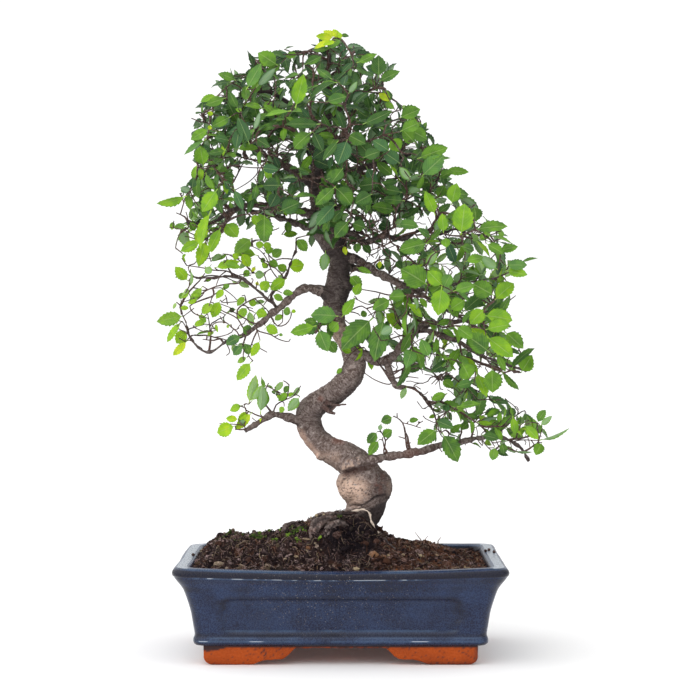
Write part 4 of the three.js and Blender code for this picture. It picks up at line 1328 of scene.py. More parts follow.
trunk = {
    "route": [
        (360, 540, 0), (363, 522, 0), (366.5, 503, 0), (364, 487, 0), (360.5, 472.5, 0), (348.5, 459.5, 0),
        (330, 450.2, 0), (315.5, 438.3, 2), (309, 424.2, 3), (309, 412, 3), (319.3, 402.3, 2),
        (338.3, 389.8, 0),
        (352.8, 373.5, -2), (354, 358, -3),
        (346, 341, -2), (336.5, 325, 0), (334, 306, 2), (337, 290, 3), (339, 273, 3), (338.5, 258, 3),
        (334, 244, 3),
        (327.5, 228, 4), (321, 205, 6), (316, 184, 7), (319, 162, 6), (324, 135, 4), (329, 105, 2),
        (328, 75, 0),
        (330, 52, 0),
    ],
    "radii": [
        8.2, 8.9, 12.8, 15.2, 12.2, 9.9, 8.5, 7.5, 7.7, 8.2, 7.5, 7.7, 7.4, 6.7, 5.9, 5.7, 7, 8, 7, 6.0,
        8.0, 10.2, 6.4,
        5, 4.2, 3.4, 2.6, 1.8, 1,
    ],
    "burls": [  # place, radius in mm, stretch
        ((352, 486.5, -4), 10.0, (0.93, 1.05, 1.0)),
        ((344.5, 481.5, -7), 5.8, (0.9, 0.9, 1.0)),
        ((379.5, 487, 1), 9, (0.9, 1.05, 1.2)),
        ((345.5, 285, 1), 5, (1, 1, 1)),
    ],
    "roots": [
        ([(356, 512, 2), (345, 530, -12), (325, 550, -26)], [7, 4.6, 2.2]),
        ([(345, 512, -6), (353, 508.5, -12), (362, 507.5, -15)], [1.0, 1.3, 1.0]),
        ([(366, 522, -3), (374, 539, -14), (392, 556, -24)], [5.2, 3.2, 1.8]),
        ([(358, 514, 5), (352, 538, 22), (348, 560, 38)], [6.5, 4, 2]),
    ],
    "stubs": [  # a knot, the swollen foot of the lower right branch, and the rolled lip of the burl
        ([(324, 452, -3), (320.5, 456.5, -4), (318, 459.5, -4.5)], [3.2, 2.7, 2.1]),
        ([(343.6, 467.4, -9.5), (349, 464.6, -12.5), (357, 461.5, -13.5), (366, 459.5, -13.5)],
         [2.5, 3.1, 2.9, 2.5]),
        ([(338.2, 487, -8), (337.9, 482.5, -8.5), (340, 479, -9.5), (344, 477, -11), (349, 477.5, -12.5)],
         [0.9, 1.2, 1.3, 1.2, 0.8]),
    ],
    "snags": [
        ([(325, 402, -6), (333, 404.8, -5), (337, 405.4, -5), (341, 404.6, -5.5), (346, 404.3, -6)],
         [2.0, 1.0, 0.65, 0.5, 0.42]),
        ([(322, 405, -6), (328.5, 410.6, -6), (331.5, 412.3, -6), (335, 413.4, -6.5)],
         [2.2, 1.5, 1.1, 0.8]),
        ([(336, 405.4, -5), (333.5, 408.6, -6), (331, 411.6, -6)], [0.6, 0.6, 0.7]),
    ],
    "paleRoot": (
        [(350, 510.8, -11), (357, 510.4, -14.5), (363.6, 509.5, -17.5), (367.6, 511.4, -18.5),
         (370, 515.2, -19),
         (371.2, 521, -19.5), (374.2, 526.6, -20.5), (379, 533, -22)],
        [0.22, 0.36, 0.62, 0.5, 0.45, 0.3, 0.26, 0.22],
    ),
    "voxel": 0.8 * mm,
}

# Branches: each limb's first point lies inside what carries it
branches = {
    "left_branch": [
        ([(334, 297, 2), (322, 291.5, -2), (308, 288, -6), (296, 293, -10), (284, 304, -13),
          (270, 315, -16),
          (257, 326, -17), (244, 335, -15), (228, 341, -11), (209, 352, -6), (197, 346, 0), (189, 335, 5),
          (186, 322, 8)],
         [4.6, 3.5, 2.5, 2.3, 2.1, 1.9, 1.7, 1.2, 0.9, 0.8, 0.75, 0.7, 0.6]),
        ([(277, 309, -14.5), (271, 297, -13), (278, 286, -11), (287, 274, -9), (291, 262, -7),
          (296, 251, -5)],
         [1.1, 0.9, 0.8, 0.75, 0.7, 0.6]),
        ([(275, 306, -14.5), (266, 298, -17), (256, 289, -20), (246, 281, -21), (230, 276, -18),
          (212, 278, -13),
          (196, 278, -8)],
         [0.9, 0.8, 0.8, 0.8, 0.75, 0.7, 0.6]),
    ],
    "lower_left_branch": [
        ([(308, 422, 1), (297, 420, -1), (284, 416, -4), (273, 414, -7), (264, 419, -9), (255, 425, -11),
          (245, 431, -12)],
         [3.2, 2.8, 2.2, 2, 1.8, 1.7, 1.6]),
    ],
    "lower_right_branch": [
        ([(345, 467, -8), (354, 463, -15), (368, 460, -16), (389, 456.5, -14), (419, 451.6, -12),
          (438, 446, -10),
          (456, 443, -6), (478, 438, 0), (493, 436, 4), (506, 439, 6), (520, 447, 8), (529, 461, 10)],
         [3.4, 3.2, 2.8, 2.5, 2.4, 2.2, 1.9, 1.5, 1.2, 1.1, 1, 0.8]),
    ],
    "right_branch": [
        ([(354, 352, -3), (366, 355, -6), (376, 361, -9), (386, 361, -11), (395, 354, -12), (406, 341, -13),
          (419, 327, -13), (440, 322, -10), (469, 320, -5), (490, 311, 0), (510, 301, 4)],
         [3, 2.8, 2.9, 2.9, 2.7, 2.5, 2.2, 1.5, 1.1, 0.8, 0.6]),
        ([(386, 361, -11), (390, 373, -11), (397, 386, -10), (412, 388, -8), (428, 402, -6),
          (435, 416, -4)],
         [2.6, 2.1, 1.7, 0.9, 0.8, 0.6]),
        ([(419, 327, -13), (436, 334, -16), (457, 341, -17), (474, 352, -15), (494, 360, -10),
          (526, 371, -2)],
         [1.8, 1.4, 1.2, 1, 0.8, 0.6]),
    ],
    "right_upper_branch": [
        ([(340, 256, 3), (355, 259, 0), (369, 268, -3), (384, 276, -6), (403, 287, -10), (425, 290, -13),
          (450, 285, -14), (478, 281, -11), (503, 277, -6)],
         [3, 2.8, 2.5, 2.2, 1.4, 1.0, 0.8, 0.7, 0.5]),
    ],
    "right_high_branch": [
        ([(333, 238, 2), (351, 234, -4), (366, 241, -8), (384, 236, -10), (402, 239, -10), (420, 231, -12),
          (440, 234, -11), (456, 229, -9), (472, 235, -6), (490, 235, -2)],
         [2.8, 1.8, 1.5, 1.3, 1.2, 1.0, 0.9, 0.8, 0.7, 0.6]),
    ],
    "right_back_branch": [
        ([(339, 268, 4), (358, 268, 16), (390, 278, 32), (424, 296, 44), (455, 314, 50), (478, 328, 52)],
         [2.8, 2.3, 1.8, 1.4, 1, 0.7]),
    ],
    "left_low_crown_branch": [
        ([(326, 220, 4), (306, 213, -2), (284, 208, -8), (262, 205, -12), (241, 207, -14), (225, 215, -13),
          (208, 224, -10), (187, 222, -7)],
         [3, 2.5, 2.2, 2, 1.6, 1.3, 1, 0.6]),
    ],
    "left_crown_branch": [
        ([(317, 188, 6), (301, 175, 2), (284, 165, -4), (270, 158, -9), (254, 148, -13), (236, 141, -15),
          (216, 136, -14), (202, 138, -12)],
         [3, 2.4, 2, 1.8, 1.5, 1.2, 0.9, 0.6]),
    ],
    "left_top_branch": [
        ([(323, 142, 4), (306, 119, 4), (286, 101, 2), (263, 91, 0), (242, 97, -3), (224, 104, -5)],
         [2.4, 1.9, 1.5, 1.2, 0.9, 0.6]),
    ],
    "right_top_branch": [
        ([(326, 122, 3), (344, 105, 2), (364, 93, 0), (384, 85, -2)], [2, 1.6, 1.1, 0.6]),
    ],
    "right_crown_branch": [
        ([(317, 186, 7), (343, 175, 6), (367, 167, 3), (392, 160, -1), (415, 153, -5), (434, 152, -8)],
         [2.8, 2.2, 1.8, 1.4, 1, 0.6]),
    ],
    "front_crown_branch": [
        ([(317, 176, 7), (322, 160, -12), (330, 148, -30), (342, 138, -46)], [2.6, 2, 1.4, 0.7]),
        ([(323, 158, -14), (310, 146, -30), (296, 132, -42)], [1.6, 1.1, 0.6]),
    ],
    "back_crown_branch": [
        ([(318, 196, 6), (316, 180, 24), (310, 158, 42), (300, 136, 54)], [3, 2.3, 1.6, 0.7]),
        ([(314, 172, 31), (332, 148, 46), (352, 126, 54)], [1.7, 1.2, 0.6]),
    ],
    "back_right_branch": [
        ([(325, 214, 5), (348, 203, 24), (378, 194, 40), (408, 194, 50), (432, 202, 54)],
         [2.8, 2.2, 1.6, 1.1, 0.6]),
    ],
    "back_left_branch": [
        ([(331, 232, 4), (304, 226, 22), (274, 216, 40), (246, 210, 50), (226, 208, 54)],
         [2.8, 2.2, 1.6, 1.1, 0.6]),
    ],
}


def limbFrom(route, radii, spacing):
    places, widths = smoothRoute([seen(*point) for point in route], radii, spacing)
    return places, widths * mm


makeSoil()
makeCrumbs()
makeClumps()
makeFibres()
makeRootBall()
makeMossTufts()
print("soil made")
trunkLimb = limbFrom(trunk["route"], trunk["radii"], 2 * mm)
branchLimbs = {name: [limbFrom(*limb, 1.6 * mm) for limb in limbs] for name, limbs in branches.items()}


def makeTrunk():
    pieces = [limbsObject("trunk_wood", [trunkLimb], 14)]
    for place, radius, stretch in trunk["burls"]:
        size = radius * mm
        bpy.ops.mesh.primitive_uv_sphere_add(segments=32, ring_count=20, radius=size, location=seen(*place))
        bpy.context.object.scale = stretch
        pieces.append(bpy.context.object)
    others = [limbFrom(*root, 2 * mm) for root in trunk["roots"] + trunk["stubs"]]
    # Each branch swells where it leaves the trunk
    for limbs in branchLimbs.values():
        places, widths = limbs[0]
        others.append((places[:9], widths[:9] * np.linspace(1.35, 0.95, len(widths[:9]))))
    pieces.append(limbsObject("knots", others, 6))
    wood = joined(pieces, "trunk_wood")
    remesh = wood.modifiers.new("remesh", "REMESH")
    remesh.mode = "VOXEL"
    remesh.voxel_size = trunk["voxel"]
    relax = wood.modifiers.new("relax", "SMOOTH")
    relax.iterations = 4
    applyModifiers(wood)
    shapeBark(wood, storeBarkPlace(wood, [trunkLimb]))
    return finish(wood, "bark", "trunk", materials=[barkMaterial])


# What stands out on the trunk, in picture pixels. A line is its places, where it begins and where it ends.
barkMarks = {
    "burl": (349, 490.5),
    "pits": (357, 487),
    "roll": (348, 485.5),
    "rollRadius": 7.2,
    "crease": (
        [(350, 504.8), (363, 505), (368.5, 502.5), (374, 498), (380, 495.8), (386, 494.6)],
        (349, 356), (388, 380),
    ),
    # Under the lower right branch's swollen foot the shelf line carries painted shade; on its top the collar
    # line carries painted light
    "shelf": ([(343, 473.5), (350, 472), (360, 468.5), (372, 465.5)], (341, 346), (377, 368)),
    "collar": ([(343, 467), (350, 463.5), (360, 460.5), (370, 458.5)], (340, 344), (378, 350)),
    # Below this line the foot of the trunk is in painted shade
    "foot": [(352, 522), (360, 512), (368, 508), (376, 503.5), (390, 499)],
    "paleKnot": (339, 336),
    "redKnot": (320.6, 399),
    "redPatch": (380, 484),
    "redStreak": (340, 439.5),
    "lightKnot": (326, 237),
    "rightStreak": 389,
}


# Ridges, wrinkles, pits and the colour of each stretch of the trunk, with painted light and shade
def shapeBark(wood, laidOut):
    places, normals = placesOf(wood), normalsOf(wood)
    across, down = pixelOf(places.T)
    thickness = np.hypot(laidOut[:, 0], laidOut[:, 1]) / mm
    isFront = places[:, 1] < potMiddle.y + 2 * mm

    def apart(name, wide=1.0, tall=1.0):
        return np.hypot((across - barkMarks[name][0]) * wide, (down - barkMarks[name][1]) * tall)

    def onLine(name, reach, core):
        line, begins, ends = barkMarks[name]
        near = nearTo(np.interp(across, *zip(*line)), reach, core, down)
        return near * smooth(*begins, across) * smooth(*ends, across) * isFront

    lumps = noiseAt(places, 70, 2) * 0.6 + noiseAt(places + 3, 190, 2) * 0.4
    wrinkles = noiseAt(laidOut * [1, 1, 1.8], 560, 3) * 0.4
    rough = (lumps + wrinkles) * smooth(0.5, 6, thickness)
    burl = smooth(22, 6, apart("burl", 0.8)) * isFront
    pitted = smooth(24, 12, apart("pits")) * isFront
    pitNoise = noiseAt(places, 1150, 2)
    pits = -smooth(0.2, 0.5, pitNoise) * 0.5 * pitted
    # The burl's rolled lip, the crease and the shelf under the branch's swollen foot are pressed in; further
    # down they are darkened with painted shade
    rolled = nearTo(barkMarks["rollRadius"], 1.1, 0.2, apart("roll")) * smooth(352, 347, across)
    rolled = rolled * smooth(489, 484, down) * isFront
    crease = onLine("crease", 1.7, 0.3)
    under = onLine("shelf", 4.6, 0.8)
    relief = rough + pits - 0.9 * rolled - 1.2 * crease - 0.6 * under
    places += normals * (relief * mm)[:, None]
    movePlaces(wood, places)

    # Painted light: on this stretch of the trunk, faces turned to the left are paler and redder
    litLeftSide = smooth(-0.35, -0.8, normals[:, 0]) * smooth(424, 434, down) * smooth(462, 456, down)
    broken = smooth(-0.45, 0.25, noiseAt(places, 330, 2))
    # The burl is pale bark; the collar line is painted light on top of the lower right branch's swollen foot
    pale = 0.9 * burl + 0.75 * onLine("collar", 5.0, 2.0) * broken + 0.7 * litLeftSide
    pale = pale + 0.4 * smooth(13, 4, apart("paleKnot", 1, 0.7))
    # Painted light on the trunk's left edge lower down
    pale = pale + 0.3 * smooth(343, 336, across) * smooth(448, 456, down) * smooth(474, 468, down)
    streak = nearTo(barkMarks["rightStreak"], 4, 1, across)
    pale = pale + 0.35 * streak * smooth(479, 483, down) * smooth(497, 492, down)
    pale = np.minimum(pale * smooth(0.6, 0.2, pitNoise), 0.9)

    # The painted shadow under the swollen foot, and the lit left side, are reddish
    red = 0.7 * smooth(5, 1.5, apart("redKnot")) + 0.3 * litLeftSide + 0.35 * under
    red = red + 0.6 * smooth(9.5, 2, apart("redPatch", 1.1, 0.6)) * broken
    red = red + 0.6 * smooth(7, 2, apart("redStreak", 0.6))

    # Darker up under the crown: partly darker bark, partly painted shade of the crown
    dark = 0.93 * smooth(326, 296, down) + 0.12 * smooth(300, 250, down)
    dark = dark + 0.35 * smooth(388, 398, down + (across - 318) * 0.5) * smooth(446, 426, down)
    # Painted shade: faces turned to the right
    dark = dark + 0.24 * smooth(0.1, 0.85, normals[:, 0])
    # Painted light: on the upper trunk, faces turned to the left are lighter
    dark = dark - 0.3 * smooth(-0.2, -0.8, normals[:, 0]) * smooth(330, 320, down)
    # Painted shade: the foot of the trunk on the right, below the foot line, and under the branch's swollen
    # foot
    footDown = np.interp(across, *zip(*barkMarks["foot"]))
    dark = dark + smooth(0, 4, down - footDown) * smooth(352, 358, across) * isFront
    dark = dark + 0.4 * smooth(363, 380, across) * smooth(466, 476, down)
    # Painted shade: faces turned down, and in the crease, the rolled lip and under the swollen foot
    dark = dark + 0.35 * smooth(-0.2, -0.7, normals[:, 2])
    dark = dark + 0.6 * rolled + 0.9 * crease + 0.5 * under
    dark = dark + 0.5 * smooth(0.25, 0.55, pitNoise) * pitted - 0.4 * smooth(16, 5, apart("lightKnot"))
    storeColour(wood, "barkTone", np.clip(np.c_[pale, red, dark * 0.88], 0, 1))


def roughenLimbs(obj):
    places, normals = placesOf(obj), normalsOf(obj)
    lumps = noiseAt(places, 240, 3) * 0.75 + noiseAt(places, 700, 2) * 0.22
    movePlaces(obj, places + normals * (lumps * mm)[:, None])


def makeBranch(name, limbs):
    rng = random.Random(name)
    uneven = []
    for places, widths in limbs:
        along = np.arange(len(places))
        swell = 1 + 0.14 * np.sin(along * 0.9 + rng.uniform(0, 6))
        uneven.append((places, widths * (swell + np.array([rng.uniform(-0.14, 0.2) for _ in along]))))
    wood = limbsObject(name + "_wood", uneven, 3)
    laidOut = storeBarkPlace(wood, limbs)
    roughenLimbs(wood)
    across, down = pixelOf(placesOf(wood).T)
    thin = smooth(1.9, 1.0, np.hypot(laidOut[:, 0], laidOut[:, 1]) / mm)
    # Darker higher up: partly darker bark, partly painted shade of the crown. Thin twigs are darker bark.
    dark = 0.26 + 0.5 * smooth(300, 200, down) + 0.45 * thin
    red = 0.35 * smooth(0.1, 0.6, noiseAt(placesOf(wood), 60, 2))
    storeColour(wood, "barkTone", np.clip(np.c_[0 * dark, red, dark], 0, 1))
    return finish(settle(wood, name + "_wood"), "bark", name, materials=[barkMaterial])


def makeBit(name, routes, tone):
    limbs = [limbFrom(*route, 1 * mm) for route in routes]
    bit = limbsObject(name, limbs, 3)
    storeBarkPlace(bit, limbs)
    roughenLimbs(bit)
    storeColour(bit, "barkTone", np.tile(tone, (len(bit.data.vertices), 1)))
    return finish(settle(bit, name), "bark", materials=[barkMaterial])


makeTrunk()
for name, limbs in branchLimbs.items():
    makeBranch(name, limbs)
makeBit("pale_root", [trunk["paleRoot"]], (0.98, 0.0, 0.08))
makeBit("trunk_snags", trunk["snags"], (0.0, 0.35, 0.6))
print("wood made")


# Leafy twigs: what each grows from, where it leaves that in the picture, where its last leaf ends, leaf
# length in mm
twigs = {
    "left_tip": ("left_branch", (188, 334), (164, 319, 12), 12),
    "left_outer": ("left_branch", (198, 278), (176, 271, -2), 12),
    "left_rise": ("left_branch", (234, 277), (222, 243, -34), 13),
    "left_middle": ("left_branch", (258, 325), (216, 304, -36), 13),
    "left_hanging": ("left_branch", (247, 333), (242, 376, -26), 13),
    "left_inner": ("left_branch", (284, 278), (252, 252, -24), 13),
    "low_left_end": ("lower_left_branch", (250, 428), (219, 431, -20), 14),
    "low_left_upright": ("lower_left_branch", (273, 415), (248, 378, -12), 14),
    "low_right_first": ("lower_right_branch", (386, 457), (379, 422, -20), 15),
    "low_right_second": ("lower_right_branch", (407, 453), (402, 408, -16), 15),
    "low_right_hanging": ("lower_right_branch", (436, 447), (452, 460, -32), 18),
    "low_right_rise": ("lower_right_branch", (470, 440), (478, 398, 4), 17),
    "low_right_outer": ("lower_right_branch", (494, 436), (526, 406, 22), 16),
    "low_right_end": ("lower_right_branch", (507, 440), (562, 434, 8), 16),
    "trunk_front": ("trunk", (342, 320), (304, 338, -24), 15),
    "right_near": ("right_branch", (407, 340), (362, 342, -40), 20),
    "right_middle": ("right_branch", (441, 322), (452, 284, -34), 18),
    "right_far": ("right_branch", (470, 320), (512, 338, -22), 18),
    "right_end": ("right_branch", (506, 303), (531, 284, 2), 17),
    "right_below": ("right_branch", (458, 342), (470, 388, -26), 18),
    "right_outer": ("right_branch", (512, 366), (536, 358, 8), 17),
    "right_stub": ("right_branch", (428, 402), (456, 402, -22), 16),
    "upper_right_first": ("right_upper_branch", (410, 289), (404, 322, -36), 18),
    "upper_right_end": ("right_upper_branch", (496, 279), (534, 261, -6), 17),
    "high_right_middle": ("right_high_branch", (428, 233), (450, 196, -26), 18),
    "high_right_end": ("right_high_branch", (482, 234), (514, 222, 6), 17),
    "back_right": ("right_back_branch", (456, 315), (496, 318, 78), 17),
    "left_low_crown": ("left_low_crown_branch", (232, 211), (214, 248, -24), 15),
    "left_low_end": ("left_low_crown_branch", (192, 223), (160, 203, -4), 15),
    "left_crown_end": ("left_crown_branch", (210, 137), (188, 166, -16), 14),
    "left_crown_front": ("left_crown_branch", (276, 160), (262, 132, -44), 16),
    "left_top": ("left_top_branch", (262, 91), (250, 60, -10), 15),
    "left_top_end": ("left_top_branch", (234, 100), (200, 100, -12), 15),
    "top": ("trunk", (328.5, 82), (327, 34, -16), 14),
    "right_top": ("right_top_branch", (378, 87), (397, 70, 4), 15),
    "right_crown": ("right_crown_branch", (416, 153), (448, 140, -14), 16),
    "front_crown": ("front_crown_branch", (340, 139), (356, 116, -76), 17),
    "back_crown": ("back_crown_branch", (302, 140), (282, 112, 80), 17),
    "back_left": ("back_left_branch", (246, 210), (214, 222, 78), 17),
}

# Where the leaves are, as outlines in the picture, with what grows there: leaf length and twig spacing in
# mm, how far the foliage reaches to the front and back, and how light its leaves are: their own colour with
# painted light and shade, the backlit leaves on the left painted brighter
foliage = {
    "crown": {
        "outline": [
            (327, 36), (345, 38), (358, 48), (372, 55), (385, 62), (394, 74), (388, 92), (398, 102),
            (416, 112),
            (432, 132), (440, 150), (447, 168), (446, 182), (438, 200), (400, 215), (385, 236),
            (352, 248), (322, 236),
            (300, 240), (262, 228), (236, 222), (212, 240), (192, 244), (178, 236), (180, 222), (184, 208),
            (178, 196), (190, 180), (200, 158), (194, 148), (196, 120), (208, 98), (220, 80), (240, 72),
            (254, 58),
            (272, 50), (290, 55), (310, 50),
        ],
        "leaf": (10.0, 15.5), "spacing": 12.2, "reach": (-64, 62), "tone": 0.25,
    },
    "right": {
        "outline": [
            (400, 200), (440, 192), (452, 184), (476, 210), (500, 228), (508, 240), (524, 256),
            (518, 272), (510, 285),
            (510, 310), (518, 342), (522, 358), (512, 370), (500, 384), (480, 390), (452, 384),
            (430, 376), (412, 384),
            (396, 372), (384, 356), (366, 346), (358, 330), (366, 308), (380, 296), (400, 285),
            (384, 262), (384, 236),
        ],
        "leaf": (11.5, 17.0), "spacing": 18.0, "reach": (-56, 66), "tone": 0.49,
    },
    "lowRight": {
        "outline": [
            (448, 388), (480, 386), (505, 394), (512, 404), (525, 414), (546, 416), (552, 428),
            (540, 440), (530, 460),
            (515, 452), (500, 454), (484, 448), (466, 444), (452, 436), (436, 438), (424, 420), (434, 402),
        ],
        "leaf": (9.0, 14.0), "spacing": 14.0, "reach": (-34, 34), "tone": 0.57,
    },
    "left": {
        "outline": [
            (178, 262), (200, 256), (214, 250), (240, 244), (262, 246), (286, 256), (296, 262), (290, 276),
            (280, 298), (284, 310), (266, 340), (250, 350), (240, 368), (232, 350), (214, 354),
            (192, 350), (180, 352),
            (172, 338), (166, 322), (176, 300), (178, 282),
        ],
        "leaf": (6.5, 10.5), "spacing": 22.0, "reach": (-30, 34), "tone": 0.78,
    },
    "lowLeft": {
        "outline": [(222, 428), (234, 404), (250, 380), (296, 386), (298, 404), (262, 418), (240, 438)],
        "leaf": (6.0, 9.0), "spacing": 90.0, "reach": (-10, 20), "tone": 0.68,
    },
    "trunkSide": {
        "outline": [(286, 340), (306, 310), (340, 296), (352, 262), (362, 300), (352, 366), (330, 352)],
        "leaf": (9.0, 12.0), "spacing": 90.0, "reach": (-10, 10), "tone": 0.5,
    },
}
# Gaps where the white background shows
gaps = [
    [(235, 162), (269, 164), (261, 170), (254, 185), (246, 187), (236, 190), (233, 175)],
    [(264, 172), (267, 190), (261, 182)],
    [(236, 222), (256, 221), (258, 240), (240, 242)],
    [(256, 196), (262, 186), (256, 206)],
    [(268, 216), (300, 226), (304, 246), (282, 252), (270, 240)],
    [(352, 268), (372, 284), (396, 300), (380, 302), (360, 296), (352, 290)],
    [(380, 300), (384, 318), (388, 306)],
    [(396, 376), (420, 390), (424, 410), (404, 410), (392, 392)],
    [(484, 402), (496, 402), (494, 412), (484, 410)],
]
# Windows in the foliage, where dark wood shows instead of leaves in front of it
windows = [
    [(236, 150), (262, 144), (296, 136), (302, 150), (290, 166), (270, 158)],
    [(288, 174), (312, 172), (324, 176), (318, 216), (298, 214), (296, 190)],
    [(344, 158), (380, 162), (376, 176), (350, 174)],
    [(346, 212), (372, 214), (380, 222), (364, 246), (344, 240)],
    [(264, 94), (290, 96), (286, 106), (262, 104)],
    [(330, 122), (348, 128), (344, 138), (322, 134)],
    [(374, 236), (400, 240), (402, 262), (376, 268), (362, 256)],
    [(372, 356), (398, 344), (404, 384), (384, 390)],
]
# Tangles of bare twigs: outline, spacing in mm, reach, and how many of these twigs fork
tangles = [
    ([(384, 292), (470, 284), (508, 318), (520, 362), (480, 392), (440, 396), (400, 392), (374, 364),
      (382, 330)],
     8.0, (-44, 44), 150),
    ([(350, 205), (400, 195), (470, 225), (484, 284), (404, 292), (362, 262),
      (346, 240)], 8.0, (-40, 44), 110),
    ([(344, 214), (372, 210), (404, 222), (410, 284), (388, 280), (368, 264),
      (350, 250)], 5.0, (-24, 26), 70),
    ([(228, 152), (300, 130), (350, 150), (380, 190), (345, 236), (300, 228),
      (240, 195)], 9.5, (-46, 46), 110),
    ([(300, 70), (370, 76), (400, 120), (380, 160), (320, 130), (250, 110),
      (240, 84)], 11.0, (-52, 50), 60),
    ([(408, 388), (500, 390), (530, 420), (534, 452), (500, 452), (440, 440),
      (416, 424)], 9.0, (-26, 26), 60),
    ([(182, 262), (240, 250), (286, 262), (276, 300), (250, 340), (200, 350),
      (176, 330)], 10.0, (-34, 30), 42),
]

growth = {
    "seed": 23,
    "margin": 76 * mm,  # no leaf further to the front or back than this
    "stemTip": 0.3 * mm,
    "stemBase": 0.4 * mm,
    "stepLength": 3.0 * mm,
    "samples": 2600,
}
